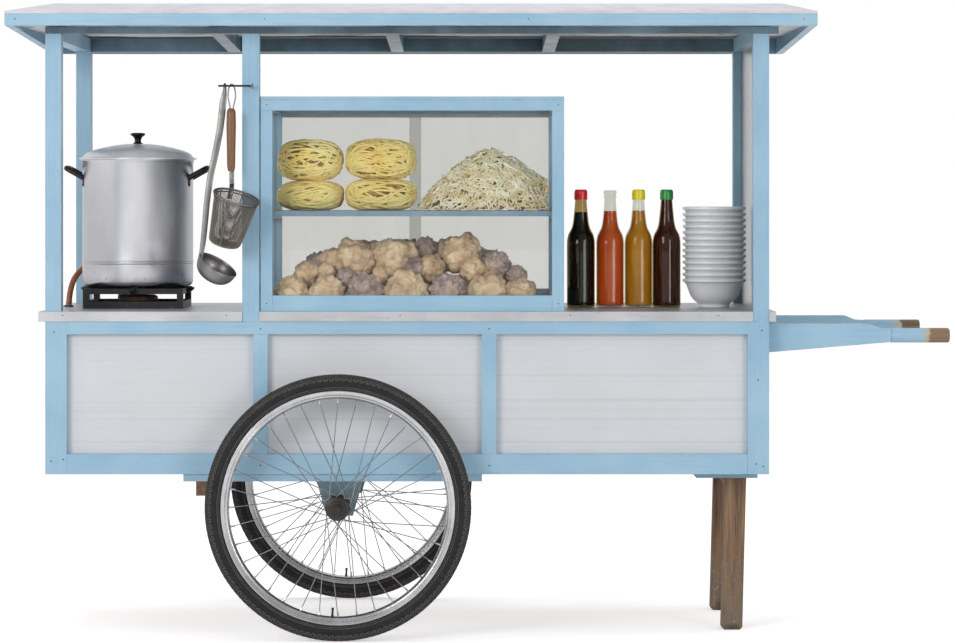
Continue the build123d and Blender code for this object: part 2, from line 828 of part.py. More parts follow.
def make_stove():
    """A cast frame with a trivet, a ring burner with its inlet, and the hose."""
    half = stove_width / 2
    low = counter_height
    outer = block((-half, half), (-half, half), (low, low + stove_base_height))
    inner_half = half - stove_bar
    inner = block(
        (-inner_half, inner_half), (-inner_half, inner_half), (low - 1, low + stove_base_height + 1)
    )
    frame = outer - inner
    upper_z = (pot_bottom - trivet_bar - trivet_arm_rise, pot_bottom - trivet_arm_rise)
    upper = block((-half, half), (-half, half), upper_z)
    frame += upper - block((-inner_half, inner_half), (-inner_half, inner_half), (low, pot_bottom))
    for x in (-half, inner_half):
        for y in (-half, inner_half):
            frame += block((x, x + stove_bar), (y, y + stove_bar), (low, upper_z[1]))
    # Four arms carry the pot and end in blunt noses outside the frame
    nose = half + trivet_nose
    arm_start = burner_radius + 2 * trivet_arm_rise
    arm_outline = (
        (arm_start, pot_bottom), (nose - trivet_nose / 2, pot_bottom),
        (nose, pot_bottom - trivet_nose / 4), (nose - 0.3 * trivet_nose, upper_z[0] + 0.3 * trivet_nose),
        (half, upper_z[0]), (inner_half, upper_z[0]), (arm_start, pot_bottom - 2 * trivet_arm_rise),
    )
    arm = prism(arm_outline, -trivet_arm_width / 2, trivet_arm_width / 2, "Y")
    for turn in range(4):
        frame += Rot(0, 0, 90 * turn) * arm
    # A flat bar across the base carries the burner
    bar_z = (low + 2, low + 2 + burner_bar_thickness)
    bar_y = (-burner_bar_width / 2, burner_bar_width / 2)
    frame += block((-inner_half - 1, inner_half + 1), bar_y, bar_z)
    place = Pos(pot_x, 0, 0)
    parts["stove_frame"] = place * frame

    ring_low = bar_z[1]
    ring_top = low + burner_top
    rise = ring_top - ring_low
    burner = turned(
        ((0, ring_low), (0.38 * burner_radius, ring_low), (0.73 * burner_radius, ring_low + 0.33 * rise),
         (burner_radius, ring_low + 0.42 * rise), (burner_radius, ring_top - 0.17 * rise),
         (0.88 * burner_radius, ring_top), (0.35 * burner_radius, ring_top),
         (0.27 * burner_radius, ring_top - 0.2 * rise), (0, ring_top - 0.2 * rise)), "Z",
    )
    # The inlet pipe runs back under the trivet and turns up into the hose
    pipe_z = low + stove_base_height + inlet_radius + 1
    end_x, end_y, end_z = hose_route[-1]
    pipe = rod((0, 0, pipe_z), (end_x, end_y, pipe_z), inlet_radius)
    elbow_top = low + end_z - 2 * seat_gap
    elbow_foot = pipe_z - inlet_radius - 2
    elbow = rod((end_x, end_y, elbow_foot), (end_x, end_y, elbow_top), hose_diameter / 2 - 1)
    burner = burner + pipe + elbow
    parts["burner"] = place * burner - parts["stove_frame"]

    start_x, start_y, start_z = hose_route[0]
    grommet = Pos(start_x, start_y, low) * turned(
        ((hose_diameter / 2 + hose_clearance, 0), (grommet_radius, 0), (grommet_radius - 2, start_z - 1),
         (hose_diameter / 2 + hose_clearance, start_z - 1)), "Z",
    )
    parts["hose_grommet"] = place * grommet

    points = [Vector(pot_x + x, y, low + z) for x, y, z in hose_route]
    radii = []
    for before, corner, after in zip(points, points[1:], points[2:]):
        turn = (corner - before).get_angle(after - corner)
        run = min((corner - before).length, (after - corner).length)
        radii.append(0.45 * run / tan(radians(turn) / 2))
    print("hose bend radii", [round(value) for value in radii])
    path = FilletPolyline(*points, radius=radii)
    start_plane = Plane(origin=points[0], z_dir=points[1] - points[0])
    hose = sweep(start_plane * Circle(hose_diameter / 2), path=path)
    section_area = pi * hose_diameter ** 2 / 4
    volume_ratio = hose.volume / (section_area * path.length)
    print("hose length", round(path.length), "volume ratio", round(volume_ratio, 4))
    parts["gas_hose"] = hose


def make_pot():
    """The stock pot with two loop handles, and its lid with a turned knob."""
    place = Pos(pot_x, 0, 0)
    bead_z = pot_bottom + pot_bead_height
    inner = pot_radius - pot_wall
    pot = turned(
        ((0, pot_bottom), (pot_radius - pot_corner, pot_bottom), (pot_radius, pot_bottom + pot_corner),
         (pot_radius, bead_z), (pot_radius + pot_wall, bead_z + pot_lip), (pot_radius, bead_z + 2 * pot_lip),
         (pot_radius, pot_top - pot_corner), (pot_radius + pot_lip, pot_top - pot_corner + pot_lip),
         (pot_radius + pot_lip, pot_top), (inner, pot_top), (inner, pot_bottom + pot_corner + pot_wall),
         (inner - pot_corner, pot_bottom + pot_wall), (0, pot_bottom + pot_wall)), "Z",
    )
    parts["pot"] = place * pot

    # Each loop starts on the wall, slopes out and up, and crosses over as the grip
    foot_z = pot_top - pot_handle_foot_drop
    grip_z = pot_top - pot_handle_grip_drop
    half = pot_handle_span / 2
    wall_face = pot_radius + 0.2
    foot_x = (pot_radius ** 2 - half ** 2) ** 0.5 - pot_wall
    out_x = wall_face + pot_handle_reach
    handles = []
    for side in (1, -1):
        loop = bent_bar(
            ((side * foot_x, -half, foot_z), (side * out_x, -half, grip_z),
             (side * out_x, half, grip_z), (side * foot_x, half, foot_z)),
            pot_handle_bend, pot_handle_radius,
        )
        handles.append(loop)
    wall = Pos(0, 0, (pot_bottom + pot_top) / 2) * Cylinder(wall_face, pot_height)
    parts["pot_handles"] = place * gather([handle - wall for handle in handles])

    seat = pot_top + seat_gap
    rim_z = (seat + 0.3 * lid_rim_height, seat - 0.7 * lid_rim_height)
    dome_top = seat + lid_rim_height + lid_dome_height
    dome = [(share * lid_radius, dome_top - fall * lid_dome_height) for share, fall in lid_dome_points]
    under_dome = [(r - pot_wall, z - pot_wall) for r, z in reversed(dome)]
    lid = turned(
        [(0, dome_top)] + dome
        + [(lid_radius - pot_corner, rim_z[0]), (lid_radius, rim_z[0]), (lid_radius, rim_z[1]),
           (lid_radius - pot_wall, rim_z[1]), (lid_radius - pot_wall, seat), (inner - 2 * pot_lip, seat)]
        + under_dome + [(0, dome_top - pot_wall)], "Z",
    )
    knob_top = dome_top + knob_height
    wide = pot_knob_radius
    knob = turned(
        ((0, dome_top - 1), (0.6 * wide, dome_top - 1), (0.36 * wide, dome_top + 0.14 * knob_height),
         (0.36 * wide, dome_top + 0.4 * knob_height), (0.85 * wide, knob_top - 0.5 * knob_height),
         (wide, knob_top - 0.32 * knob_height), (0.85 * wide, knob_top - 0.1 * knob_height),
         (0.4 * wide, knob_top), (0, knob_top)), "Z",
    )
    parts["pot_lid"] = place * (lid + knob)


def strap(points, widths, thickness):
    """A flat bar in the plane across the hanging rod, with its width at each point along it."""
    left = []
    right = []
    for index, ((x, z), width) in enumerate(zip(points, widths)):
        before = points[max(index - 1, 0)]
        after = points[min(index + 1, len(points) - 1)]
        along = Vector(after[0] - before[0], 0, after[1] - before[1]).normalized()
        left.append((x - along.Z * width / 2, z + along.X * width / 2))
        right.append((x + along.Z * width / 2, z - along.X * width / 2))
    rod_y = body_front - rod_reach
    return prism(left + right[::-1], rod_y - thickness / 2, rod_y + thickness / 2, "Y")


def make_tools():
    """A hanging rod on the middle post with a ladle and a noodle strainer."""
    post_x = body_left + middle_post_place
    rod_y = body_front - rod_reach
    parts["tool_rod"] = bent_bar(
        ((post_x, body_front, rod_height), (post_x, rod_y, rod_height),
         (post_x - rod_length, rod_y, rod_height)), rod_bend, rod_radius,
    )

    # Ladle: a wire hook over the rod, a long flat strap, and a bowl that hangs at its foot
    wire = ladle_wire_radius
    top_x = post_x - ladle_place
    hook = rod_radius + seat_gap + wire
    hook_z = rod_height + hook
    strap_top = rod_height - 8 * wire
    strap_foot = rod_height - ladle_drop
    ladle_hook = bent_bar(
        ((top_x, rod_y - 2 * hook, rod_height - 4 * wire), (top_x, rod_y - 1.5 * hook, hook_z),
         (top_x, rod_y + hook, hook_z), (top_x, rod_y + hook, strap_top + wire),
         (top_x, rod_y, strap_top - 3 * wire)), 1.5 * wire, wire,
    )
    drop = strap_top - strap_foot
    offset = ladle_foot_offset
    stem_points = (
        (top_x, strap_top), (top_x - 0.18 * offset, strap_top - 0.2 * drop),
        (top_x - 0.58 * offset, strap_top - 0.5 * drop), (top_x - 0.72 * offset, strap_top - 0.65 * drop),
        (top_x - 0.88 * offset, strap_top - 0.9 * drop), (top_x - offset, strap_foot),
    )
    narrowing = (ladle_strap_top_width - ladle_strap_foot_width) / drop
    stem_widths = [ladle_strap_top_width - narrowing * (strap_top - z) for _, z in stem_points]
    stem = strap(stem_points, stem_widths, ladle_strap_thickness)
    radius = ladle_bowl_radius
    depth = ladle_bowl_depth
    wall = ladle_bowl_wall
    bowl = turned(
        ((radius, 0), (0.94 * radius, -0.42 * depth), (0.74 * radius, -0.76 * depth),
         (0.4 * radius, -depth), (0, -depth), (0, wall - depth), (0.4 * radius - wall / 2, wall - depth),
         (0.74 * radius - wall, wall / 2 - 0.76 * depth), (0.94 * radius - wall, -0.42 * depth),
         (radius - wall, 0)), "Z",
    )
    bowl = Rot(0, ladle_bowl_tilt, 0) * Rot(ladle_bowl_lean, 0, 0) * bowl
    bite = 0.1 * radius
    bowl_x = stem_points[-1][0] + radius * cos(radians(ladle_bowl_tilt)) - wall / 2
    bowl_z = strap_foot - radius * sin(radians(ladle_bowl_tilt)) + bite
    parts["ladle"] = ladle_hook + stem + Pos(bowl_x, rod_y, bowl_z) * bowl

    # Strainer: a wire loop, a turned wooden grip, a flat neck and a tilted basket
    wire = strainer_wire_radius
    loop_x = post_x - strainer_place
    loop_top = rod_height + rod_radius + seat_gap + wire
    grip_top = rod_height - strainer_loop_height
    grip_foot = grip_top - strainer_grip_length
    thick = strainer_grip_radius
    parts["strainer_handle"] = Pos(loop_x, rod_y, 0) * turned(
        ((0, grip_foot), (0.67 * thick, grip_foot), (0.83 * thick, grip_foot + thick),
         (thick, grip_top - 3.3 * thick), (0.92 * thick, grip_top - 0.67 * thick), (0.58 * thick, grip_top),
         (0, grip_top)), "Z",
    )
    half = strainer_loop_half_width
    foot_half = 2 * wire
    wide_half = half + foot_half
    wide_z = grip_top + 2 * thick
    loop_low = grip_top + 2 * seat_gap
    loop = bent_bar(
        ((loop_x, rod_y - foot_half, loop_low), (loop_x, rod_y - wide_half, wide_z),
         (loop_x, rod_y - half, loop_top), (loop_x, rod_y + half, loop_top),
         (loop_x, rod_y + wide_half, wide_z), (loop_x, rod_y + foot_half, loop_low)),
        (4 * wire, 3 * wire, 3 * wire, 4 * wire), wire,
    )
    rim_half = strainer_rim_height / 2
    outer = strainer_rim_radius
    inner = outer - strainer_wall
    basket = turned(
        ((outer, 0), (strainer_base_radius, -strainer_depth), (0, -strainer_depth),
         (0, strainer_wall - strainer_depth),
         (strainer_base_radius - strainer_wall, strainer_wall - strainer_depth), (inner, 0)), "Z",
    )
    rim_outer = outer + strainer_rim_band
    basket += turned(((inner, -rim_half), (rim_outer, -rim_half), (rim_outer, rim_half), (inner, rim_half)), "Z")
    # The neck drops straight from the grip to the far side of the basket's tilted rim
    tilt = radians(strainer_tilt)
    lean = radians(strainer_lean)
    neck_foot = grip_foot - strainer_neck_length
    hold = outer + strainer_rim_band / 2
    hold_share = -strainer_basket_offset / (hold * cos(tilt))
    hold_back = hold * (1 - hold_share ** 2) ** 0.5
    rise = hold_back * sin(lean)
    basket_x = loop_x + strainer_basket_offset - rise * sin(tilt)
    basket_y = rod_y - hold_back * cos(lean)
    basket_z = neck_foot + hold * hold_share * sin(tilt) - rise * cos(tilt)
    basket = Rot(0, strainer_tilt, 0) * Rot(strainer_lean, 0, 0) * basket
    basket = Pos(basket_x, basket_y, basket_z) * basket
    neck_width = strainer_neck_width
    neck = strap(
        ((loop_x, grip_foot), (loop_x, neck_foot)), (neck_width, 0.75 * neck_width),
        strainer_neck_thickness,
    )
    parts["strainer"] = gather([loop, neck + basket])


def make_wares():
    """Bottles and caps, nested bowls, noodles, sprouts and meatballs."""
    cap_low = bottle_height - bottle_cap_height
    shoulder_middle = (bottle_shoulder_height + bottle_neck_start) / 2
    bottles = []
    caps = []
    for setback, capped in bottle_table:
        neck_top = cap_low if capped else bottle_height - bottle_lip_height
        outline = (
            (0, 0), (bottle_radius - bottle_heel, 0), (bottle_radius, bottle_heel),
            (bottle_radius, bottle_shoulder_height),
            (0.9 * bottle_radius, shoulder_middle), (bottle_throat_radius, bottle_neck_start),
            (bottle_neck_radius, cap_low - 2), (bottle_neck_radius, neck_top), (0, neck_top),
        )
        spot = Pos(body_right - setback, 0, counter_height)
        bottles.append(spot * turned(outline, "Z"))
        if capped:
            cap = ((0, cap_low), (bottle_cap_radius, cap_low), (bottle_cap_radius, bottle_height - 3),
                   (bottle_cap_radius - 2, bottle_height), (0, bottle_height))
            caps.append(spot * turned(cap, "Z"))
    parts["bottles"] = gather(bottles)
    parts["bottle_caps"] = gather(caps)

    # Each bundle of noodles is a pad with rounded corners and edges
    bundles = []
    case_clear_left = case_left + case_member
    for place, share, low, height in noodle_table:
        pad = Box(share * case_inner_width, noodle_depth, height)
        pad = chamfer(pad.edges().filter_by(Axis.Z), 0.18 * noodle_depth)
        pad = chamfer(pad.faces().sort_by(Axis.Z)[-1].edges(), 0.26 * height)
        pad = chamfer(pad.faces().sort_by(Axis.Z)[0].edges(), 0.14 * height)
        pad_x = case_clear_left + place * case_inner_width
        bundles.append(Pos(pad_x, noodle_middle_y, shelf_top + low + height / 2) * pad)
    parts["noodles"] = gather(bundles)

    # The sprouts are a low oval mound in four steps of radius and height
    mound = turned(
        ((0, 0), (0.5, 0), (0.46, 0.3), (0.36, 0.62), (0.2, 0.9), (0.09, 1), (0, 1)), "Z"
    )
    sprout_width = sprout_share * case_inner_width
    mound = scale(mound, by=(sprout_width, sprout_depth, sprout_height))
    mound_x = case_right - case_member - sprout_edge - sprout_width / 2
    parts["sprouts"] = Pos(mound_x, noodle_middle_y, shelf_top) * mound

    # Meatballs are lumps with cut corners, heaped in rows and settled into each other
    heap = None
    for row, (behind, high, inset) in enumerate(meatball_rows):
        steps = int((case_inner_width - 2 * (inset + meatball_radius)) / meatball_pitch)
        first = (case_left + case_right - steps * meatball_pitch) / 2
        for index in range(steps + 1):
            size = 2 * meatball_radius * (0.94 + 0.05 * ((index * 7 + row * 3) % 3))
            lump = Box(size, size, 0.92 * size)
            lump = chamfer(lump.edges(), 0.28 * size)
            place = first + index * meatball_pitch
            spot = Pos(place, case_front + behind, counter_height + high)
            lump = spot * Rot(0, 0, (37 * index + 23 * row) % 90) * lump
            heap = lump if heap is None else heap + lump
    floor_cut = block((case_left, case_right), (case_front, case_back), (body_bottom, counter_height))
    parts["meatballs"] = heap - floor_cut

    base = bowl_pitch - bowl_foot_height - seat_gap
    bowl = turned(
        ((0, bowl_foot_recess), (bowl_foot_radius - bowl_foot_ring, bowl_foot_recess),
         (bowl_foot_radius - bowl_foot_ring, 0), (bowl_foot_radius, 0),
         (bowl_foot_radius, bowl_foot_height), (0.8 * bowl_radius, 0.55 * bowl_height),
         (bowl_radius, bowl_height), (bowl_radius - bowl_wall, bowl_height),
         (0.8 * bowl_radius - bowl_wall - 1, 0.55 * bowl_height),
         (bowl_foot_radius + 1, bowl_foot_height + base), (0, bowl_foot_height + base)), "Z",
    )
    bowls = [
        Pos(body_right - bowl_setback, 0, counter_height + index * bowl_pitch) * bowl
        for index in range(bowl_count)
    ]
    parts["bowls"] = gather(bowls[:-1])
    parts["top_bowl"] = bowls[-1]


make_body()
make_posts_and_counter()
make_roof()
make_case()
make_cabinet_doors()
make_underside()
make_handles()
make_wheel("front_wheel", -wheel_y)
make_wheel("rear_wheel", wheel_y)
make_stove()
make_pot()
make_tools()
make_wares()

for name, shape in parts.items():
    export_step(shape, f"parts/{name}.step")
print(len(parts), "nodes")
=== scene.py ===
"""Looks of a noodle vendor's hand cart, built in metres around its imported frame."""
import math
import random

import bmesh
import bpy
import numpy as np
from mathutils import Matrix, Vector, noise


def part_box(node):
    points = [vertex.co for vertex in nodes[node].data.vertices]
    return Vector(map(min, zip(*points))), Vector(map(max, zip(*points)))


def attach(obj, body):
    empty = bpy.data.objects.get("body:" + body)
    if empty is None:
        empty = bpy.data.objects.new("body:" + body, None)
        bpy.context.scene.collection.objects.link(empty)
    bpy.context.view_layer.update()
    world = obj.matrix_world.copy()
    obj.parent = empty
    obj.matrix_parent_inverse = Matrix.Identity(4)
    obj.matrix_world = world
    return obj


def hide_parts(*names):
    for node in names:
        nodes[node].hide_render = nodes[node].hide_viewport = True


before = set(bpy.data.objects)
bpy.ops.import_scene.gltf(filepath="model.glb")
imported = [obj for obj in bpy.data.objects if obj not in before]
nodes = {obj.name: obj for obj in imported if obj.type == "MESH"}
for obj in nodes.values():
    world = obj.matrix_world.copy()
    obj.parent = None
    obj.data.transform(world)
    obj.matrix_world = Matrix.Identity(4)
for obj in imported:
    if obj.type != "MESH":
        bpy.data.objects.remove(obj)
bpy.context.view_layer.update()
chance = random.Random(7)

MM = 0.001
# Scales of a pattern along X, Y and Z: alike, or squeezed so that it runs long along an axis
EVEN = (1, 1, 1)
GRAIN = {"X": (0.05, 1, 1), "Y": (1, 0.05, 1), "Z": (1, 1, 0.05)}


# Materials

def srgb(red, green, blue):
    """Linear colour with alpha from the 0 to 255 values of a colour picker."""
    def linear(value):
        value /= 255
        return value / 12.92 if value <= 0.04045 else ((value + 0.055) / 1.055) ** 2.4
    return (linear(red), linear(green), linear(blue), 1.0)


def darker(colour, share):
    return tuple(share * value for value in colour[:3]) + (1,)


class Nodes:
    """A node tree being built. Amounts and patterns are node outputs, mostly from 0 to 1."""

    def __init__(self, tree):
        self.tree = tree

    def node(self, kind, inputs=(), **settings):
        """A new node with its settings, and with links or values on its inputs."""
        made = self.tree.nodes.new(kind)
        for key, value in settings.items():
            setattr(made, key, value)
        for key, value in dict(inputs).items():
            self.plug(made.inputs[key], value)
        return made

    def plug(self, socket, value):
        """Links an output to a socket, or sets the socket's own value."""
        if isinstance(value, bpy.types.NodeSocket):
            self.tree.links.new(value, socket)
        else:
            socket.default_value = value

    def sums(self, operation, first, second=0.0):
        return self.node("ShaderNodeMath", {0: first, 1: second}, operation=operation).outputs[0]

    def times(self, first, second):
        return self.sums("MULTIPLY", first, second)

    def fade(self, value, start, end):
        """0 at start, 1 at end, clamped; start may be above end."""
        inputs = {"Value": value, "From Min": start, "From Max": end}
        return self.node("ShaderNodeMapRange", inputs, clamp=True).outputs["Result"]

    def sight(self):
        """1 for what is seen, directly, mirrored or through glass; and 1 for what is seen mirrored."""
        path = self.node("ShaderNodeLightPath").outputs
        seen = self.sums("MAXIMUM", path["Is Camera Ray"], path["Is Glossy Ray"])
        return self.sums("MAXIMUM", seen, path["Is Transmission Ray"]), path["Is Glossy Ray"]


class Finish(Nodes):
    """A material being built, with its colour so far."""

    def __init__(self, name, colour=None, **inputs):
        self.material = bpy.data.materials.new(name)
        self.material.use_nodes = True
        super().__init__(self.material.node_tree)
        self.shader = self.tree.nodes["Principled BSDF"]
        self.colour = colour
        for key, value in inputs.items():
            self.put(key.replace("_", " ").title(), value)

    def put(self, name, value):
        self.plug(self.shader.inputs[name.replace("Ior", "IOR")], value)

    def position(self, stretch=EVEN):
        """The place on the object in metres, squeezed along an axis."""
        place = self.node("ShaderNodeTexCoord").outputs["Object"]
        return self.node("ShaderNodeMapping", {"Vector": place, "Scale": stretch}).outputs["Vector"]

    def axis(self, name):
        """One coordinate on the object, in metres."""
        return self.node("ShaderNodeSeparateXYZ", {0: self.position()}).outputs[name]

    def wavering(self, axis, pattern, size):
        """One coordinate in metres, moved by a pattern."""
        return self.sums("ADD", self.axis(axis), self.times(pattern, size))

    def noise(self, scale, detail=4, roughness=0.55, distortion=0, stretch=EVEN):
        inputs = {"Vector": self.position(stretch), "Scale": scale, "Detail": detail, "Roughness": roughness,
                  "Distortion": distortion}
        return self.node("ShaderNodeTexNoise", inputs).outputs["Fac"]

    def patches(self, start, end, scale, detail=4, **more):
        """Where a noise is above start, in full from end on."""
        return self.fade(self.noise(scale, detail, **more), start, end)

    def mix(self, amount, first, second):
        return self.node("ShaderNodeMix", {0: amount, 6: first, 7: second}, data_type="RGBA").outputs[2]

    def over(self, amount, colour, share=1):
        """Lays another colour over the colour so far, by an amount times a share."""
        if share != 1:
            amount = self.times(amount, share)
        self.colour = self.mix(amount, self.colour, colour)

    def ramp(self, value, *stops):
        ramp = self.node("ShaderNodeValToRGB", {0: value})
        elements = ramp.color_ramp.elements
        while len(elements) < len(stops):
            elements.new(0.5)
        for element, (place, colour) in zip(elements, stops):
            element.position = place
            element.color = colour
        return ramp.outputs["Color"]

    def cloud(self, pattern, dark, light):
        """Starts the colour off between two that drift into each other."""
        self.colour = self.ramp(pattern, (0.3, dark), (0.7, light))

    def blend(self, amount, first, second):
        """A shader node between two others."""
        return self.node("ShaderNodeMixShader", {0: amount, 1: first.outputs[0], 2: second.outputs[0]})

    def bevel(self, radius):
        """A normal rounded off near sharp edges."""
        return self.node("ShaderNodeBevel", {"Radius": radius}, samples=4).outputs["Normal"]

    def edge(self, radius, start=0.995, end=0.8):
        """Nearness to a sharp edge, from 0 on the flat to 1 at the corner."""
        flat = self.node("ShaderNodeNewGeometry").outputs["True Normal"]
        inputs = {0: self.bevel(radius), 1: flat}
        dot = self.node("ShaderNodeVectorMath", inputs, operation="DOT_PRODUCT")
        return self.fade(dot.outputs["Value"], start, end)

    def rough(self, pattern, share, least):
        """Roughness that varies with a pattern."""
        self.put("Roughness", self.sums("ADD", self.times(pattern, share), least))

    def done(self, height, depth, rounding=0):
        """The material: its colour, a surface raised by a pattern and rounded edges, both in millimetres."""
        inputs = {"Height": height, "Distance": depth * MM}
        if rounding:
            inputs["Normal"] = self.bevel(rounding * MM)
        self.put("Normal", self.node("ShaderNodeBump", inputs).outputs["Normal"])
        self.put("Base Color", self.colour)
        return self.material


BLUE = srgb(142, 180, 204)
BLUE_LIGHT = srgb(157, 192, 213)
BLUE_DARK = srgb(118, 161, 191)
PRIMER = srgb(206, 205, 196)
PANEL = srgb(208, 210, 214)
WOOD_DARK = srgb(66, 46, 34)
WOOD = srgb(126, 98, 73)
WOOD_LIGHT = srgb(158, 128, 98)
GRIME = srgb(52, 56, 58)
# Dark teal laid over the blue paint as painted shade, partly soot under the roof
PAINTED_SHADE_TEAL = srgb(34, 48, 54)
DUST = srgb(104, 98, 90)
# Depth of the surface and rounding of the edges in millimetres
PAINT_RELIEF = (0.35, 1.4)
WOOD_RELIEF = (0.7, 2)


def painted(finish, grain, wear):
    """Worn blue gloss paint over timber. Returns the height of its surface."""
    streak = finish.noise(130, 5, stretch=GRAIN[grain])
    finish.colour = BLUE
    finish.over(finish.patches(0.3, 0.72, 7, 3), BLUE_LIGHT)
    finish.over(finish.fade(streak, 0.5, 0.75), BLUE_DARK, 0.3)
    finish.over(finish.patches(0.735 - 0.03 * wear, 0.76, 190, 2), WOOD, 0.6)
    ragged = finish.noise(55, 5, 0.7)
    chip = finish.fade(finish.times(finish.edge(3 * MM), ragged), 0.5 - 0.1 * wear, 0.56 - 0.1 * wear)
    finish.over(chip, finish.mix(finish.patches(0.45, 0.6, 30, 2), PRIMER, WOOD))
    seam = finish.times(finish.edge(1.2 * MM, 0.97, 0.75), finish.fade(ragged, 0.3, 0.55))
    finish.over(seam, GRIME, 0.55)
    return finish.sums("SUBTRACT", finish.times(streak, 0.5), chip)


def blue_paint(grain, wear=0.4, soot=0.0):
    finish = Finish("blue_paint_%s_%d_%d" % (grain, wear * 10, soot * 10))
    height = painted(finish, grain, wear)
    # The soot share darkens the paint in patches: painted shade on the timbers under the roof, the case's
    # shelf and the axle hangers, partly real soot under the roof
    if soot:
        finish.over(finish.patches(0.0, 0.55, 5), PAINTED_SHADE_TEAL, soot)
    finish.rough(finish.patches(0.2, 0.9, 14, 3), 0.25, 0.3)
    return finish.done(height, *PAINT_RELIEF)


def timber(finish, grain, light=WOOD, dark=WOOD_DARK, pale=WOOD_LIGHT):
    """Bare weathered timber. Returns the height of its surface."""
    rings = finish.noise(90, 6, 0.65, 0.4, GRAIN[grain])
    finish.colour = finish.ramp(rings, (0.28, dark), (0.5, light), (0.72, pale))
    finish.over(finish.patches(0.45, 0.7, 22, 3, stretch=GRAIN[grain]), dark, 0.5)
    crack = finish.patches(0.66, 0.72, 260, 2, stretch=GRAIN[grain])
    finish.over(crack, srgb(38, 28, 22))
    return finish.sums("SUBTRACT", rings, crack)


def bare_wood(grain):
    """Brown timber that turns grey and muddy towards the ground."""
    finish = Finish("bare_wood_" + grain, roughness=0.72)
    height = timber(finish, grain)
    damp = finish.wavering("Z", finish.noise(20), 120 * MM)
    finish.over(finish.fade(damp, 240 * MM, 100 * MM), srgb(110, 100, 90), 0.6)
    specks = finish.times(finish.patches(0.66, 0.7, 240, 2), finish.fade(damp, 300 * MM, 120 * MM))
    finish.over(specks, srgb(170, 160, 148))
    finish.over(finish.fade(damp, 85 * MM, 55 * MM), srgb(44, 36, 30), 0.8)
    finish.over(finish.times(finish.edge(4 * MM), finish.noise(40)), srgb(160, 134, 106), 0.4)
    return finish.done(height, *WOOD_RELIEF)


def oiled_wood():
    finish = Finish("oiled_wood", roughness=0.42)
    height = timber(finish, "Z", srgb(118, 78, 48), srgb(84, 52, 30), srgb(140, 98, 64))
    return finish.done(height, *WOOD_RELIEF)


def handle_paint(bare_from):
    """Blue paint along the handles, rubbed through to brown wood at the ends."""
    finish = Finish("handle_paint", roughness=0.5)
    timber(finish, "X")
    wood = finish.colour
    height = painted(finish, "X", 1.8)
    along = finish.wavering("X", finish.noise(60), 24 * MM)
    near = finish.fade(along, bare_from - 90 * MM, bare_from)
    rubbed = finish.times(near, finish.noise(190, stretch=(0.4, 1, 1)))
    finish.over(finish.fade(rubbed, 0.41, 0.47), srgb(182, 172, 152))
    finish.over(finish.fade(along, bare_from, bare_from + 5 * MM), wood)
    return finish.done(height, *PAINT_RELIEF)


def panel_paint():
    """Pale painted board with faint plank lines along it and a few specks."""
    finish = Finish("grey_panel", PANEL, roughness=0.55)
    fine = finish.noise(150, stretch=(0.1, 1, 1))
    finish.over(finish.patches(0.35, 0.7, 4), darker(PANEL, 0.94))
    finish.over(finish.fade(fine, 0.5, 0.8), srgb(168, 168, 174), 0.1)
    planks = finish.noise(1, 1, stretch=(0.05, 1, 34))
    line = finish.fade(finish.sums("ABSOLUTE", finish.sums("SUBTRACT", planks, 0.5)), 0.012, 0.002)
    finish.over(line, srgb(150, 150, 156), 0.17)
    finish.over(finish.patches(0.735, 0.755, 170, 2), srgb(138, 128, 120), 0.4)
    return finish.done(finish.sums("SUBTRACT", finish.times(fine, 0.3), finish.times(line, 0.4)), 0.2, 1)


def counter_sheet():
    """Pale worn metal sheet, scratched and spotted on top, chipped along its edge."""
    finish = Finish("counter_sheet", metallic=0.25)
    cloud = finish.noise(6, 5)
    finish.cloud(cloud, srgb(172, 173, 177), srgb(200, 202, 205))
    finish.over(finish.patches(0.6, 0.7, 150, stretch=(0.06, 1, 1)), srgb(128, 128, 130), 0.3)
    edge = finish.edge(3.5 * MM)
    chip = finish.fade(finish.times(edge, finish.noise(45, 5, 0.7)), 0.36, 0.44)
    finish.over(chip, srgb(104, 98, 92), 0.75)
    finish.over(edge, srgb(228, 228, 228), 0.5)
    cells = finish.node("ShaderNodeTexVoronoi", {"Vector": finish.position(), "Scale": 38})
    finish.over(finish.fade(cells.outputs["Distance"], 0.10, 0.06), srgb(120, 116, 110), 0.3)
    finish.rough(cloud, 0.3, 0.25)
    return finish.done(finish.sums("SUBTRACT", cloud, chip), 0.6, 2.2)


def roof_sheet():
    """Pale lilac-grey roof paint with rain streaks that run down the slope."""
    finish = Finish("roof_sheet", roughness=0.5)
    streak = finish.noise(16, 5, stretch=(1, 0.1, 1))
    finish.cloud(streak, srgb(192, 190, 199), srgb(214, 212, 219))
    finish.over(finish.patches(0.6, 0.75, 9, 5), srgb(146, 134, 126), 0.3)
    finish.over(finish.times(finish.edge(4 * MM), finish.noise(50)), srgb(232, 230, 232))
    return finish.done(streak, 0.5, 2)


def ceiling_with_painted_light(glint_from, glint_to):
    """Brown-grey board, its colour partly painted shade under the roof; wavy white patches along its front
    half are painted highlights.
    """
    finish = Finish("ceiling_board", roughness=0.7)
    grain = finish.noise(40, 5, stretch=(0.1, 1, 1))
    # The brown-grey stands partly for the shade under the roof
    finish.cloud(grain, srgb(92, 88, 88), srgb(136, 130, 128))
    blotch = finish.patches(0.36, 0.46, 6.5, roughness=0.6, distortion=0.6, stretch=(1, 1.6, 1))
    reach = finish.fade(finish.wavering("Y", finish.noise(9, 3), 120 * MM), glint_to, glint_from)
    # White patches along the front half: painted highlights
    finish.over(finish.fade(finish.times(blotch, reach), 0.35, 0.5), srgb(236, 236, 234))
    return finish.done(grain, 0.5)


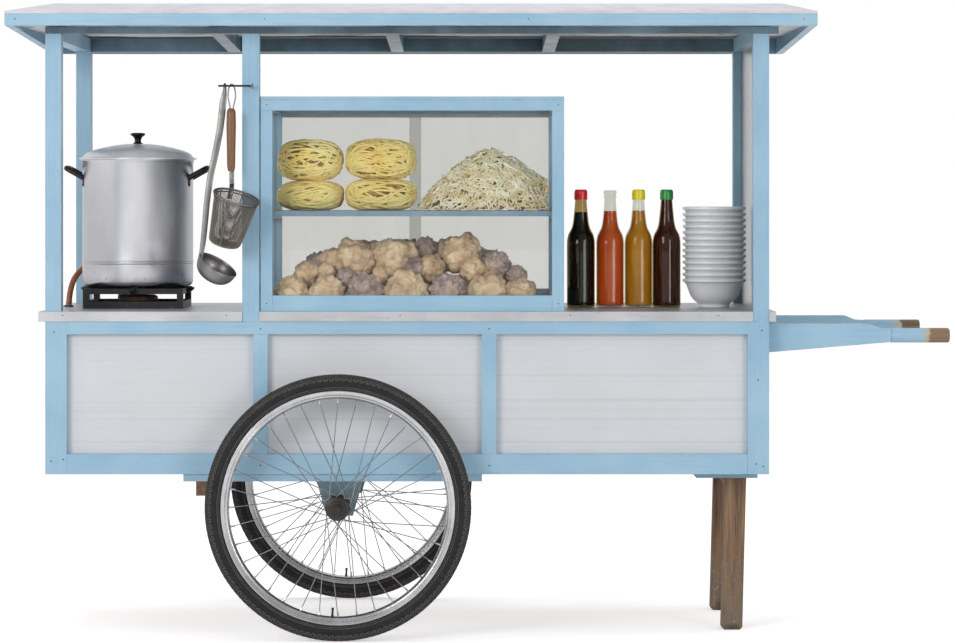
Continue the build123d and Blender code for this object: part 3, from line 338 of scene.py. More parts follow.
def clear_glass(name, tint, dust=0.0):
    """Thin glass: light goes straight through its tint, it mirrors a little and holds some dust."""
    finish = Finish(name)
    through = finish.node("ShaderNodeBsdfTransparent", {"Color": tint})
    film = finish.node("ShaderNodeBsdfDiffuse", {"Color": srgb(222, 222, 216)})
    smear = finish.patches(0.25, 0.8, 11, roughness=0.6, distortion=0.5, stretch=(1, 1, 0.25))
    haze = finish.blend(finish.times(smear, 2 * dust), through, film)
    # Only the side that faces the air mirrors, since the light isn't bent inside the pane
    outside = finish.sums("SUBTRACT", 1, finish.node("ShaderNodeNewGeometry").outputs["Backfacing"])
    share = finish.node("ShaderNodeFresnel", {"IOR": 1.45}).outputs[0]
    mirror = finish.node("ShaderNodeBsdfGlossy", {"Roughness": 0.02})
    surface = finish.blend(finish.times(share, outside), haze, mirror)
    finish.plug(finish.tree.nodes["Material Output"].inputs["Surface"], surface.outputs[0])
    return finish.material


def metal(name, colour, rough, spots=0.3):
    """Bright or dark metal with fine scratches, handling marks and a few dull spots."""
    finish = Finish(name, colour, metallic=1.0)
    lines = finish.noise(240, stretch=(1, 1, 0.08))
    dark = darker(colour, 0.72)
    finish.over(finish.patches(0.35, 0.7, 18), dark)
    finish.over(finish.fade(lines, 0.45, 0.7), dark, 0.3)
    finish.over(finish.patches(0.64, 0.72, 70, 3), srgb(70, 60, 52), spots)
    finish.rough(lines, 0.18, rough)
    return finish.done(lines, 0.12, 0.6)


def pot_metal(name, bottom, seam, shine, dark, light):
    """Spun aluminium: fine lines run round it, with soot low down and long soft scratches."""
    finish = Finish(name, metallic=shine, anisotropic=0.6)
    finish.put("Tangent", finish.node("ShaderNodeTangent", direction_type="RADIAL", axis="Z").outputs[0])
    lines = finish.noise(60, 3, stretch=(0.3, 0.3, 9))
    cloud = finish.noise(11, stretch=(1, 1, 0.4))
    finish.cloud(cloud, dark, light)
    scuff = finish.patches(0.6, 0.7, 60, 5, roughness=0.7, distortion=0.5, stretch=(1, 1, 0.2))
    finish.over(scuff, srgb(206, 206, 209), 0.16)
    soot = finish.fade(finish.wavering("Z", cloud, 30 * MM), bottom + 45 * MM, bottom + 12 * MM)
    finish.over(soot, DUST, 0.5)
    stain = finish.times(finish.patches(0.64, 0.7, 90), finish.fade(finish.axis("Z"), seam, bottom))
    finish.over(stain, srgb(84, 76, 68))
    finish.rough(scuff, 0.08, 0.34)
    return finish.done(finish.sums("ADD", lines, finish.times(cloud, 0.4)), 0.2)


def tyre_rubber():
    """Black rubber with some dust; the edges of its blocks are painted pale, partly as dust and partly as a
    highlight.
    """
    finish = Finish("tyre_rubber", roughness=0.6, specular_ior_level=0.2)
    finish.cloud(finish.noise(30, 5), srgb(24, 24, 26), srgb(38, 38, 40))
    finish.over(finish.patches(0.55, 0.75, 110), DUST, 0.14)
    # Pale block edges: painted highlight, partly dust
    finish.over(finish.edge(1.3 * MM, 0.98, 0.75), srgb(146, 143, 138), 0.9)
    return finish.done(finish.noise(300, 3), 0.3)


def cast_iron(name, colour, rust):
    """Rough cast metal with patches of rust and rubbed edges."""
    finish = Finish(name, colour, roughness=0.55, metallic=0.35)
    patch = finish.patches(0.62 - 0.3 * rust, 0.75 - 0.2 * rust, 36, 5)
    finish.over(patch, srgb(122, 84, 66), 0.35 + 0.6 * rust)
    finish.over(finish.edge(2.5 * MM), srgb(96, 94, 92), 0.35)
    return finish.done(finish.noise(160, 5, 0.7), 0.5, 1.5)


def hose_rubber():
    """Orange-brown rubber of the gas hose, a little uneven."""
    finish = Finish("hose_rubber", roughness=0.42)
    finish.cloud(finish.noise(40), srgb(126, 64, 36), srgb(156, 88, 52))
    return finish.done(finish.noise(220, 3), 0.3)


def plastic(name, colour, roughness=0.32):
    """Moulded plastic, darkened here and there by handling."""
    finish = Finish(name, colour, roughness=roughness, coat_weight=0.15)
    cloud = finish.noise(90)
    finish.over(finish.fade(cloud, 0.4, 0.75), darker(colour, 0.82))
    return finish.done(cloud, 0.15)


def dough(name, pale, deep, scale):
    """Soft food: its colour drifts from strand to strand, and light goes a little way in."""
    finish = Finish(name, roughness=0.45, subsurface_weight=0.25, subsurface_scale=4 * MM, coat_weight=0.3,
                    coat_roughness=0.35)
    fleck = finish.noise(scale * 9, 3)
    finish.colour = finish.ramp(finish.noise(scale), (0.32, deep), (0.62, pale))
    finish.over(finish.fade(fleck, 0.5, 0.7), deep, 0.35)
    return finish.done(fleck, 0.5)


def meat(name, pale, mid, deep, crumb):
    """Cooked meat: pale fatty patches, brown hollows and a surface that crumbles by so many millimetres."""
    finish = Finish(name, roughness=0.62, subsurface_weight=0.15, subsurface_scale=4 * MM)
    lump = finish.noise(24, 6, 0.62, 0.5)
    fine = finish.noise(150, 5, 0.7)
    finish.colour = finish.ramp(lump, (0.28, deep), (0.46, mid), (0.64, pale))
    finish.over(finish.fade(fine, 0.5, 0.68), mid, 0.4)
    finish.over(finish.patches(0.6, 0.7, 70, roughness=0.65), deep, 0.45)
    finish.over(finish.patches(0.56, 0.7, 13, 3), srgb(214, 180, 134), 0.45)
    return finish.done(finish.sums("ADD", fine, lump), crumb)


def white_glaze():
    """White glazed stoneware with a faint blue-grey cast and tiny specks."""
    white = srgb(250, 251, 253)
    finish = Finish("white_glaze", white, roughness=0.2, coat_weight=0.2)
    finish.over(finish.patches(0.35, 0.7, 16, 3), darker(white, 0.95))
    finish.over(finish.patches(0.76, 0.78, 260, 2), srgb(120, 112, 104), 0.5)
    return finish.done(finish.noise(45, 2), 0.1)


def sauce(name, deep, glow, grains=0.0):
    """Bottled sauce, settled a little unevenly, with a share of grains in it."""
    finish = Finish(name, deep, roughness=0.4, coat_weight=0.25, coat_roughness=0.03, specular_ior_level=0.2)
    drift = finish.noise(40, 3, stretch=(1, 1, 0.3))
    finish.over(finish.fade(drift, 0.3, 0.75), glow)
    finish.over(finish.patches(0.66, 0.72, 420, 2), srgb(226, 140, 70), grains)
    return finish.done(drift, 0.1)


# Shapes

def turns(count):
    """The angles of a full turn in equal steps."""
    return [math.tau * index / count for index in range(count)]


def circle(radius, height=0.0, count=32, place=Matrix()):
    """Points round the Z axis of a place."""
    return [place @ Vector((radius * math.cos(a), radius * math.sin(a), height)) for a in turns(count)]


def in_mm(points, radius=0.0, height=0.0):
    """Pairs of radius and height, given in millimetres from a place in metres."""
    return [(radius + r * MM, height + h * MM) for r, h in points]


def mirrored(half):
    """The closed outline of a ring from one half of it, which runs to the middle plane."""
    ring = half + [(r, -offset) for r, offset in reversed(half) if offset]
    return ring + [ring[0]]


class Shape:
    """Points and faces gathered from many small forms, made into one object at the end."""

    def __init__(self):
        self.points = []
        self.faces = []

    def add(self, points, faces):
        base = len(self.points)
        self.points += [tuple(point) for point in points]
        self.faces += [[base + corner for corner in face] for face in faces]

    def grid(self, rows, closed_rows=False, closed_columns=True):
        """Faces between rows of points, each row as long as the others."""
        count, width = len(rows), len(rows[0])
        faces = []
        for i in range(count if closed_rows else count - 1):
            for j in range(width if closed_columns else width - 1):
                k, m = (i + 1) % count, (j + 1) % width
                faces.append((i * width + j, i * width + m, k * width + m, k * width + j))
        self.add([point for row in rows for point in row], faces)

    def turned(self, outline, place, segments=64):
        """An outline of radius and height pairs turned about the Z axis of a place."""
        self.grid([circle(max(radius, 1e-6), height, segments, place) for radius, height in outline])

    def tube(self, line, radius, sides=8, closed=False, flat=1.0, up=(0.31, 0.17, 0.93)):
        """A tube along points. Radius is one value or one per point; flat squeezes its section."""
        line = np.asarray(line, float)
        count = len(line)
        radii = np.broadcast_to(np.asarray(radius, float), (count,))
        ahead = np.roll(line, -1, 0) - np.roll(line, 1, 0)
        if not closed:
            ahead[0] = line[1] - line[0]
            ahead[-1] = line[-1] - line[-2]
        ahead /= np.linalg.norm(ahead, axis=1)[:, None] + 1e-12
        side = np.array(up, float)
        angles = np.array(turns(sides))[:, None]
        rows = []
        for point, direction, size in zip(line, ahead, radii):
            side = side - direction * side.dot(direction)
            side /= np.linalg.norm(side) + 1e-12
            other = flat * np.cross(direction, side)
            rows.append(point + size * (np.cos(angles) * side + np.sin(angles) * other))
        base = len(self.points)
        self.grid(rows, closed_rows=closed)
        if not closed:
            self.faces.append([base + j for j in reversed(range(sides))])
            self.faces.append([base + (count - 1) * sides + j for j in range(sides)])

    def lump(self, centre, size, detail, displace=lambda direction: 1):
        """A ball whose surface is pushed in and out by a function of the direction."""
        ball = bmesh.new()
        bmesh.ops.create_icosphere(ball, subdivisions=detail, radius=1)
        points = []
        for vert in ball.verts:
            direction = vert.co.normalized()
            offset = direction * displace(direction)
            points.append(Vector(centre) + Vector(offset[i] * size[i] for i in range(3)))
        self.add(points, [[vert.index for vert in face.verts] for face in ball.faces])
        ball.free()

    def finish(self, name, material, body, slot, replaces=(), smooth_below=50):
        """Makes the piece, its edges sharp where they fold by more than an angle in degrees."""
        mesh = bpy.data.meshes.new(name)
        mesh.from_pydata(self.points, [], self.faces)
        form = bmesh.new()
        form.from_mesh(mesh)
        bmesh.ops.remove_doubles(form, verts=form.verts, dist=2e-6)
        bmesh.ops.recalc_face_normals(form, faces=form.faces)
        form.to_mesh(mesh)
        form.free()
        mesh.polygons.foreach_set("use_smooth", [True] * len(mesh.polygons))
        mesh.set_sharp_from_angle(angle=math.radians(smooth_below))
        mesh.materials.append(material)
        add_piece(name, mesh, body, replaces)


def placed(name, data):
    """A new object in the scene."""
    made = bpy.data.objects.new(name, data)
    bpy.context.scene.collection.objects.link(made)
    return made


def add_piece(name, data, body, replaces=()):
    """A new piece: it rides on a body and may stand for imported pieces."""
    made = placed(name, data)
    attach(made, body)
    if replaces:
        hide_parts(*replaces)
    return made


def eased(points, steps=5):
    """A smooth run through outline points, by Catmull-Rom pieces."""
    ends = [points[0]] + list(points) + [points[-1]]
    result = []
    for before, start, end, after in zip(ends, ends[1:], ends[2:], ends[3:]):
        for step in range(steps):
            t = step / steps
            result.append(tuple(
                0.5 * (2 * s + (e - b) * t + (2 * b - 5 * s + 4 * e - a) * t ** 2
                       + (3 * s - b - 3 * e + a) * t ** 3)
                for b, s, e, a in zip(before, start, end, after)
            ))
    return result + [tuple(points[-1])]


def middle(node):
    low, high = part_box(node)
    return (low + high) / 2


def colour_node(name, material):
    """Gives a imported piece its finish."""
    materials = nodes[name].data.materials
    if not materials:
        materials.append(material)
    for place in range(len(materials)):
        materials[place] = material


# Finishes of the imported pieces

body_low, body_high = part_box("body_stiles")
counter_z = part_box("counter_top")[1].z
roof_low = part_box("roof_deck")[0]
pot_low, pot_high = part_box("pot")
pot_x = middle("pot").x
case_low, case_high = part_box("case_stiles")
shelf_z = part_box("case_shelf")[1].z
# The paint is rubbed off the handles from this place on
HANDLE_BARE_FROM = 1.134

paint = {axis: blue_paint(axis) for axis in "XYZ"}
worn_paint = {axis: blue_paint(axis, 1.6) for axis in "XYZ"}
bright_steel = metal("bright_steel", srgb(168, 168, 168), 0.22)
spoke_steel = metal("spoke_steel", srgb(132, 131, 129), 0.3, 0.5)
dark_steel = metal("dark_steel", srgb(66, 62, 60), 0.35)
worn_steel = metal("worn_steel", srgb(134, 132, 130), 0.3, 0.35)
rim_chrome = metal("rim_chrome", srgb(188, 188, 190), 0.16, 0.2)
grip_metal = metal("grip_metal", srgb(56, 53, 51), 0.38)
door_glass = clear_glass("door_glass", (0.8, 0.8, 0.782, 1), 0.03)
rubber = tyre_rubber()


def finish_packed_pieces():
    panel = panel_paint()
    sheet = counter_sheet()
    # Paint darkened by painted shade, partly soot: the rails and rafters under the roof, the case's shelf
    # and the axle hangers
    shaded_paint = {axis: blue_paint(axis, 0.4, 0.8) for axis in "XY"}
    table = {
        "posts": paint["Z"], "body_stiles": paint["Z"], "body_rails": paint["X"], "body_panels": panel,
        "floor_board": bare_wood("X"), "counter_top": sheet, "counter_edging": sheet,
        "end_screen": metal("polished_sheet", srgb(150, 151, 153), 0.18),
        "roof_long_rails": shaded_paint["X"], "roof_side_rails": paint["Y"], "rafters": shaded_paint["Y"],
        "roof_fascias": worn_paint["X"], "roof_side_boards": worn_paint["Y"], "roof_deck": roof_sheet(),
        "case_stiles": paint["Z"], "case_rails": paint["X"], "case_side_rails": paint["Y"],
        "case_roof": paint["X"], "case_shelf": blue_paint("X", 0.4, 0.5),
        "case_glass": clear_glass("window_glass", (0.985, 0.987, 0.985, 1), 0.015),
        "case_door_left": door_glass, "case_door_right": door_glass, "case_door_tracks": bright_steel,
        "door_hinges": bright_steel, "bearers": worn_paint["X"], "cross_bars": bare_wood("Y"),
        "axle_hangers": blue_paint("Z", 1.6, 0.7), "axle": dark_steel, "legs": bare_wood("Z"),
        "handles": handle_paint(HANDLE_BARE_FROM), "tool_rod": dark_steel, "pot_handles": grip_metal,
        "strainer_handle": oiled_wood(), "stove_frame": cast_iron("black_iron", srgb(36, 36, 38), 0.1),
        "burner": cast_iron("rusty_iron", srgb(74, 58, 50), 0.8),
        "hose_grommet": plastic("grommet_rubber", srgb(60, 44, 38), 0.6),
        "front_wheel_spokes": spoke_steel, "rear_wheel_spokes": spoke_steel,
        "cabinet_door_left": panel, "cabinet_door_middle": panel, "cabinet_door_right": panel,
    }
    for name, material in table.items():
        colour_node(name, material)


# Wheels

def make_wheel(side):
    """Tyre with a blocked tread, double-walled rim, nipples, valve and hub of one wheel."""
    body = side + "_wheel"
    low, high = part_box(body + "_tyre")
    centre = (low + high) / 2
    outer = (high.x - low.x) / 2
    half_width = (high.y - low.y) / 2
    rim_low, rim_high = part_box(body + "_rim")
    rim_outer = (rim_high.x - rim_low.x) / 2
    rim_half = (rim_high.y - rim_low.y) / 2
    inner = rim_high.x - centre.x - 21.3 * MM
    crown = outer - 2.4 * MM
    turned_over = Matrix.Rotation(-math.pi / 2, 4, "X")
    place = Matrix.Translation(centre) @ turned_over
    make_tyre(body, place, outer, crown, half_width, rim_outer, rim_half)

    rim = Shape()
    rim.turned(mirrored(eased(
        in_mm([(0, 0), (0.6, 5), (3, 9.5), (6, 12.4), (8.5, 13.2), (9.4, 12.4), (11, 12.4), (12, 14)], inner)
        + [(inner + 16 * MM, rim_half - 0.8 * MM)]
        + in_mm([(-1.5, 0), (0, -1), (-1, -2.7)], rim_outer, rim_half)
        + in_mm([(11, 9), (8, 0)], inner), 2)), place, 180)
    spokes = 36
    # Nipples, their radius growing towards the rim
    nipple = ((-11, 1.9), (-3, 2.1), (1, 3))
    for index, angle in enumerate(turns(spokes)):
        foot = centre + Vector((0, (-3.4 if index % 2 else 3.4) * MM, 0))
        out = Vector((math.cos(angle), 0, math.sin(angle)))
        rim.tube([foot + out * (inner + reach * MM) for reach, _ in nipple],
                 [size * MM for _, size in nipple])
    rim.finish(body + "_rim_polished", rim_chrome, body, "bright_rim", [body + "_rim"], 40)

    valve = Shape()
    valve_angle = math.radians(-93)
    out = Vector((math.cos(valve_angle), 0, math.sin(valve_angle)))
    stem = ((-1, 3.4), (4, 3.4), (4.2, 2.7), (16, 2.7), (16.2, 3.4), (21, 3.2))
    valve.tube([centre + out * (inner - depth * MM) for depth, _ in stem],
               [size * MM for _, size in stem], 10)
    valve.finish(body + "_valve", rubber, body, "tyre_rubber", [], 40)

    hub_low, hub_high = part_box(body + "_hub")
    reach = (hub_high.y - hub_low.y) / 2
    flange = (hub_high.x - hub_low.x) / 2
    hub_middle = Vector((centre.x, (hub_low.y + hub_high.y) / 2, centre.z))
    hub = Shape()
    hub.turned(mirrored(
        in_mm([(7.2, 0), (11.5, 0), (12, -2.6), (16, -3), (17, -4), (20, -4.4), (21, -5.4)], 0, reach)
        + in_mm([(-2, -6), (0, -7.4), (0, -10.4), (-1, -11)], flange, reach)
        + in_mm([(21, -11), (17.5, -15), (16.4, -22)], 0, reach)
        + [(16.2 * MM, 0)]), Matrix.Translation(hub_middle) @ turned_over)
    hub.finish(body + "_hub_turned", dark_steel, body, "dark_steel", [body + "_hub"], 30)


def make_tyre(body, place, outer, crown, half_width, rim_outer, rim_half):
    """The tyre's round section, from the rim's flange to the crown, with rows of blocks and fine rings."""
    tyre = Shape()
    flank = (
        in_mm([(-11, -4.2), (0.6, -3.4), (1, 0.8)], rim_outer, rim_half)
        + in_mm([(5, -4.5), (12, -1.2), (19, -0.6)], rim_outer, half_width)
        + in_mm([(-9, -3.2), (-4.2, -7.6), (-1.2, -13)], crown, half_width)
    )
    tyre.turned(mirrored(eased(flank, 3) + [(crown, 0)]), place, 160)

    # Rows of small blocks: distance from the middle, depth below the crown's top, size across and lean
    rows = ((3.2, 1.4, 4.6, 0.5), (9.4, 1.9, 4.8, -0.5), (14.6, 4.4, 4.4, 0.5), (18.6, 8.6, 4.2, -0.5),
            (20.6, 14.0, 3.0, 0.4))
    blocks = 132
    half_length = 4.6 * MM
    for row, (offset, depth, across, lean) in enumerate(rows):
        # How far the block's face turns from outward to sideways
        tip = min(1.0, depth / 14)
        for mirror in (1, -1):
            for index in range(blocks):
                angle = math.tau * (index + 0.5 * (row % 2)) / blocks
                out = Vector((math.cos(angle), 0, math.sin(angle)))
                along = Vector((-out.z, 0, out.x))
                sideways = Vector((0, mirror, 0))
                face = (out * (1 - tip) + sideways * tip).normalized()
                cross = (sideways * (1 - tip) - out * tip).normalized()
                spot = place.translation + out * (outer - depth * MM) + sideways * offset * MM
                corners = [
                    spot + face * height + along * (u * half_length * grow + v * lean * 3.4 * MM)
                    + cross * v * across / 2 * MM * grow
                    for height, grow in ((-2.2 * MM, 1.15), (0.9 * MM, 0.9))
                    for u, v in ((-1, -1), (1, -1), (1, 1), (-1, 1))
                ]
                tyre.add(corners, [(4, 5, 6, 7), (0, 4, 7, 3), (1, 2, 6, 5), (0, 1, 5, 4), (3, 7, 6, 2)])
    for above_rim in (4, 7.5):
        for mirror in (1, -1):
            ring = circle(rim_outer + above_rim * MM, mirror * (half_width - 2.6 * MM), 120, place)
            tyre.tube(ring, 0.8 * MM, 5, closed=True, up=(0, 1, 0))
    tyre.finish(body + "_tyre_treaded", rubber, body, "tyre_rubber", [body + "_tyre"], 35)


# Pot, lid, hose

def make_pot():
    """Tall pot with a rolled seam and lip, its domed lid and knob, and its riveted handle plates."""
    place = Matrix.Translation((pot_x, 0, 0))
    bottom, top = pot_low.z, pot_high.z
    radius = 143.5 * MM
    seam = bottom + 63 * MM
    pot = Shape()
    pot.turned(
        [(0, bottom)]
        + in_mm([(-16, 0), (-8, 1.4), (-2.5, 6), (0, 14)], radius, bottom)
        + in_mm([(0, -5), (1.3, -3.6), (1.3, -2), (0.2, -0.8), (0.2, 0.8), (1.3, 2), (1.2, 3.4), (0, 5)],
                radius, seam)
        + in_mm([(0, -10), (1.5, -7), (2.8, -4.5), (2.6, -1), (1, 0), (-1.6, -0.8), (-2, -4)], radius, top)
        + in_mm([(-2, 12), (-12, 2)], radius, bottom) + [(0, bottom + 2 * MM)], place, 128)
    aluminium = pot_metal("pot_metal", bottom, seam, 1.0, srgb(174, 174, 178), srgb(192, 192, 196))
    pot.finish("pot_spun", aluminium, "cart", "pot_metal", ["pot"], 35)

    seat = top + 0.3 * MM
    lid_low, lid_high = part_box("pot_lid")
    wide = (lid_high.x - lid_low.x) / 2
    dome = seat + 40 * MM
    lid = Shape()
    lid.turned(
        in_mm([(0, -0.4), (30, -1.2), (62, -5.2), (92, -11.5), (118, -18.5), (132, -24), (140, -30),
               (143, -35)], 0, dome)
        + [(144.5 * MM, seat + 3.4 * MM)]
        + in_mm([(-1.6, 2.9), (0, 1.6), (0, -0.6), (-1.4, -1.6), (-2.4, -1.2), (-3, 0.4)], wide, seat)
        + [(136 * MM, seat + 0.2 * MM)]
        + in_mm([(134, -28), (118, -20.5), (60, -7), (0, -2.4)], 0, dome), place, 128)
    lid_metal = pot_metal("lid_metal", bottom, seam, 0.4, srgb(212, 213, 216), srgb(230, 231, 234))
    lid.finish("pot_lid_spun", lid_metal, "lid", "pot_metal", ["pot_lid"], 40)
    knob = Shape()
    knob.turned(eased(
        in_mm([(13, -1.6), (13, 1), (9.5, 2.4), (8.2, 7), (9.4, 13)], 0, dome)
        + in_mm([(13.5, -9.5), (18.6, -6), (19.4, -3.6), (17, -1.2), (9, 0), (0, 0)], 0, lid_high.z),
        3), place, 40)
    knob.finish("pot_knob", grip_metal, "lid", "dark_steel")

    # Riveted plates carry the two loops
    plates = Shape()
    foot_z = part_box("pot_handles")[0].z - 1 * MM
    for side in (1, -1):
        for across in (-1, 1):
            spread = math.asin(43 * MM / radius) * across
            direction = Vector((side * math.cos(spread), math.sin(spread), 0))
            along = Vector((-direction.y, direction.x, 0))
            face = place.translation + direction * (radius + 0.4 * MM)
            outline = [face + along * 7 * MM * math.cos(a) + Vector((0, 0, foot_z + 15 * MM * math.sin(a)))
                       for a in turns(12)]
            plates.grid([[point + direction * height * MM for point in outline] for height in (-1.2, 1.0)])
            plates.faces.append(list(range(len(plates.points) - 12, len(plates.points))))
            for lift in (-10, 4):
                rivet = face + direction * 1 * MM + Vector((0, 0, foot_z + lift * MM))
                plates.lump(rivet, [2.6 * MM] * 3, 2)
    plates.finish("pot_handle_plates", grip_metal, "cart", "dark_steel", [], 40)


def make_hose():
    """The hose rises from its grommet and bends over to the burner's inlet."""
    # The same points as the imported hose: x and y from the pot's middle, z from the counter
    offsets = (
        (-181, 12, 6), (-179, 16, 57), (-153, 62, 101), (-105, 130, 127), (-64, 166, 92), (-63, 167, 41),
    )
    route = [(pot_x + x * MM, y * MM, counter_z + z * MM) for x, y, z in offsets]
    line = bpy.data.curves.new("gas_hose_line", "CURVE")
    line.dimensions = "3D"
    spline = line.splines.new("NURBS")
    spline.points.add(len(route) - 1)
    for point, place in zip(spline.points, route):
        point.co = (*place, 1)
    spline.order_u = 3
    spline.use_endpoint_u = True
    spline.resolution_u = 24
    diameter = 15 * MM
    line.bevel_depth = diameter / 2
    line.bevel_resolution = 6
    line.use_fill_caps = True
    line.materials.append(hose_rubber())
    hose = add_piece("gas_hose_smooth", line, "cart", ["gas_hose"])

    collars = Shape()
    for foot, tall in ((route[0], 12 * MM), (route[-1], -12 * MM)):
        for share in (0.35, 0.75):
            ring = circle(8.1 * MM, share * tall, 32, Matrix.Translation(foot))
            collars.tube(ring, 1.1 * MM, 6, closed=True, up=(0, 0, 1))
    collars.finish("hose_clips", bright_steel, "cart", "bright_metal")


# Ladle and strainer

def make_rod_eye():
    """The small ring on the post that the wire is screwed into."""
    low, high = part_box("tool_rod")
    eye = Shape()
    ring = [(high.x + 3 * MM, (low.y + high.y) / 2 + 5 * MM * math.sin(a),
             (low.z + high.z) / 2 + 5 * MM * math.cos(a)) for a in turns(20)]
    eye.tube(ring, 1.8 * MM, 8, closed=True, up=(1, 0, 0))
    eye.finish("tool_rod_eye", worn_steel, "cart", "dark_steel")


def make_ladle():
    """One-piece steel ladle: hooked end, flat strap and a deep bowl that shows its inside."""
    hang_y = middle("tool_rod").y
    rod_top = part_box("tool_rod")[1].z
    ladle = Shape()
    # Strap's middle line along the cart and up, with its width
    strap = eased([
        (-641, 1366, 9), (-642.5, 1352, 13), (-646, 1330, 17), (-652.8, 1270, 17), (-664, 1210, 16.5),
        (-676.8, 1150, 16), (-685.2, 1090, 15.5), (-690, 1040, 15), (-694.8, 990, 14), (-699, 962, 12),
        (-703, 945, 10),
    ], 4)
    line = [(x * MM, hang_y, z * MM) for x, z, _ in strap]
    ladle.tube(line, [width / 2 * MM for _, _, width in strap], 14, flat=0.2, up=(1, 0, 0))
    loop = 6 * MM
    top = rod_top + 1.6 * MM
    hook = [(-642.5 * MM, hang_y - loop, 1348 * MM), (-641.5 * MM, hang_y - loop, top - 9 * MM)]
    hook += [(-641 * MM, hang_y - loop * math.cos(a), top - loop + loop * math.sin(a))
             for a in turns(16)[1:8]]
    hook += [(-641 * MM, hang_y + loop, top - 10 * MM), (-641 * MM, hang_y + loop - 1 * MM, top - 17 * MM)]
    ladle.tube(eased(hook, 3), 3.4 * MM, 10)

    radius, depth, wall = 52 * MM, 44 * MM, 1.8 * MM
    turn = Matrix.Rotation(math.radians(32), 4, "Y") @ Matrix.Rotation(math.radians(14), 4, "X")
    place = Matrix.Translation((-658.9 * MM, hang_y, 927.6 * MM)) @ turn
    # Shares of the radius and of the depth, from the rim to the bottom
    bowl = ((1, 0), (0.99, -0.2), (0.945, -0.42), (0.86, -0.61), (0.74, -0.76), (0.58, -0.88), (0.4, -0.95),
            (0.2, -0.99), (0, -1))
    outside = [(radius * r, depth * h) for r, h in bowl]
    inside = [((radius - wall) * r, (depth - wall) * h) for r, h in reversed(bowl)]
    lip = in_mm([(-1.4, 1.4), (0.8, 1.8), (1.4, 0.4)], radius)
    ladle.turned(eased(inside, 2) + lip + eased(outside, 2), place, 72)
    ladle.finish("ladle_smooth", worn_steel, "cart", "bright_metal", ["ladle"], 40)


def make_strainer():
    """Woven wire basket on a flat neck, with a wooden grip and a wire loop over the rod."""
    hang_y = middle("tool_rod").y
    turn = Matrix.Rotation(math.radians(16), 4, "Y") @ Matrix.Rotation(math.radians(15), 4, "X")
    place = Matrix.Translation((-606.8 * MM, -438.4 * MM, 1097.7 * MM)) @ turn
    rim_radius, base_radius, depth, corner = 55.5 * MM, 39 * MM, 125 * MM, 6 * MM
    around, down, base_rings = 92, 46, 8

    def wall_ring(share, out=0.0, count=around, turned_by=0.0):
        """Points round the basket's wall: share runs from the rim to the base, out stands off it."""
        turned_in = max(0, share - 0.93) / 0.07
        radius = rim_radius + (base_radius - rim_radius) * share + out - corner * turned_in ** 2
        return circle(radius, -depth * share, count, place @ Matrix.Rotation(turned_by, 4, "Z"))

    rows = [wall_ring(row / down) for row in range(down + 1)]
    rows += [circle((base_radius - corner) * (1 - ring / (base_rings + 0.5)), -depth, around, place)
             for ring in range(1, base_rings + 1)]
    weave = Shape()
    weave.grid(rows)
    mesh = bpy.data.meshes.new("strainer_weave")
    mesh.from_pydata(weave.points, [], weave.faces)
    mesh.materials.append(metal("basket_wire", srgb(128, 121, 112), 0.4, 0.6))
    basket = add_piece("strainer_weave", mesh, "cart", ["strainer"])
    wires = basket.modifiers.new("wires", "WIREFRAME")
    wires.thickness = 1.8 * MM
    wires.use_even_offset = False

    wire = Shape()
    for radius, height, thick in ((57.5, 0, 2.3), (56.2, -7.5, 1.1)):
        wire.tube(circle(radius * MM, height * MM, 72, place), thick * MM, 8, closed=True, up=(0, 0, 1))
    wire.tube(wall_ring(0.985, 0.8 * MM, 60), 1.1 * MM, 6, closed=True, up=(0, 0, 1))
    for seam in range(6):
        angle = math.tau * (seam + 0.35) / 6
        shares = (0, 0.25, 0.5, 0.75, 0.9, 0.95, 1)
        wire.tube([wall_ring(share, 0.9 * MM, 1, angle)[0] for share in shares], 1.0 * MM, 6)
    grip_low, grip_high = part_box("strainer_handle")
    grip = middle("strainer_handle")
    # The neck comes down to the far side of the rim, straight below the grip
    neck_angle = math.radians(112)
    far_rim = place @ Vector((57.5 * MM * math.cos(neck_angle), 57.5 * MM * math.sin(neck_angle), 0))
    neck = eased([
        (grip.x, hang_y, grip_low.z + 5 * MM), (grip.x, hang_y, grip_low.z - 20 * MM),
        (grip.x + 0.3 * (far_rim.x - grip.x), hang_y + 0.2 * MM, far_rim.z + 12 * MM),
        (far_rim.x, far_rim.y + 2 * MM, far_rim.z), tuple(wall_ring(0.2, 1.5 * MM, 1, neck_angle)[0]),
    ], 5)
    wire.tube(neck, 6 * MM, 12, flat=0.3, up=(1, 0, 0))
    # One side of the wire loop from the grip to the rod: x, y, height and what it is measured from
    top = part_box("tool_rod")[1].z + 2 * MM
    rise = ((4, 0, -6, grip_high.z), (4.5, 0, 6, grip_high.z), (9, 0, 26, grip_high.z), (8, 1, -14, top),
            (4, 2, -3, top))
    left = [(grip.x - x * MM, hang_y - y * MM, base + z * MM) for x, y, z, base in rise]
    right = [(grip.x + x * MM, hang_y + y * MM, base + z * MM) for x, y, z, base in reversed(rise)]
    wire.tube(eased(left + [(grip.x, hang_y, top)] + right, 4), 1.7 * MM, 8, up=(0, 1, 0))
    wire.finish("strainer_frame", worn_steel, "cart", "bright_metal", [], 40)
    rivets = Shape()
    facing = Matrix.Rotation(math.pi / 2, 4, "X")
    for height in (grip_high.z - 20 * MM, grip_low.z + 18 * MM):
        rivets.turned(in_mm([(0, 13.4), (2.2, 13.1), (3.4, 12.2), (3.6, 10), (0, 10)]),
                      Matrix.Translation((grip.x, hang_y, height)) @ facing, 16)
    rivets.finish("strainer_rivets", worn_steel, "cart", "bright_metal")


# Food in the case

def squircle(direction):
    """Radius that makes a unit ball a soft-cornered cushion."""
    power = 2.9
    return sum(abs(part) ** power for part in direction) ** (-1 / power)


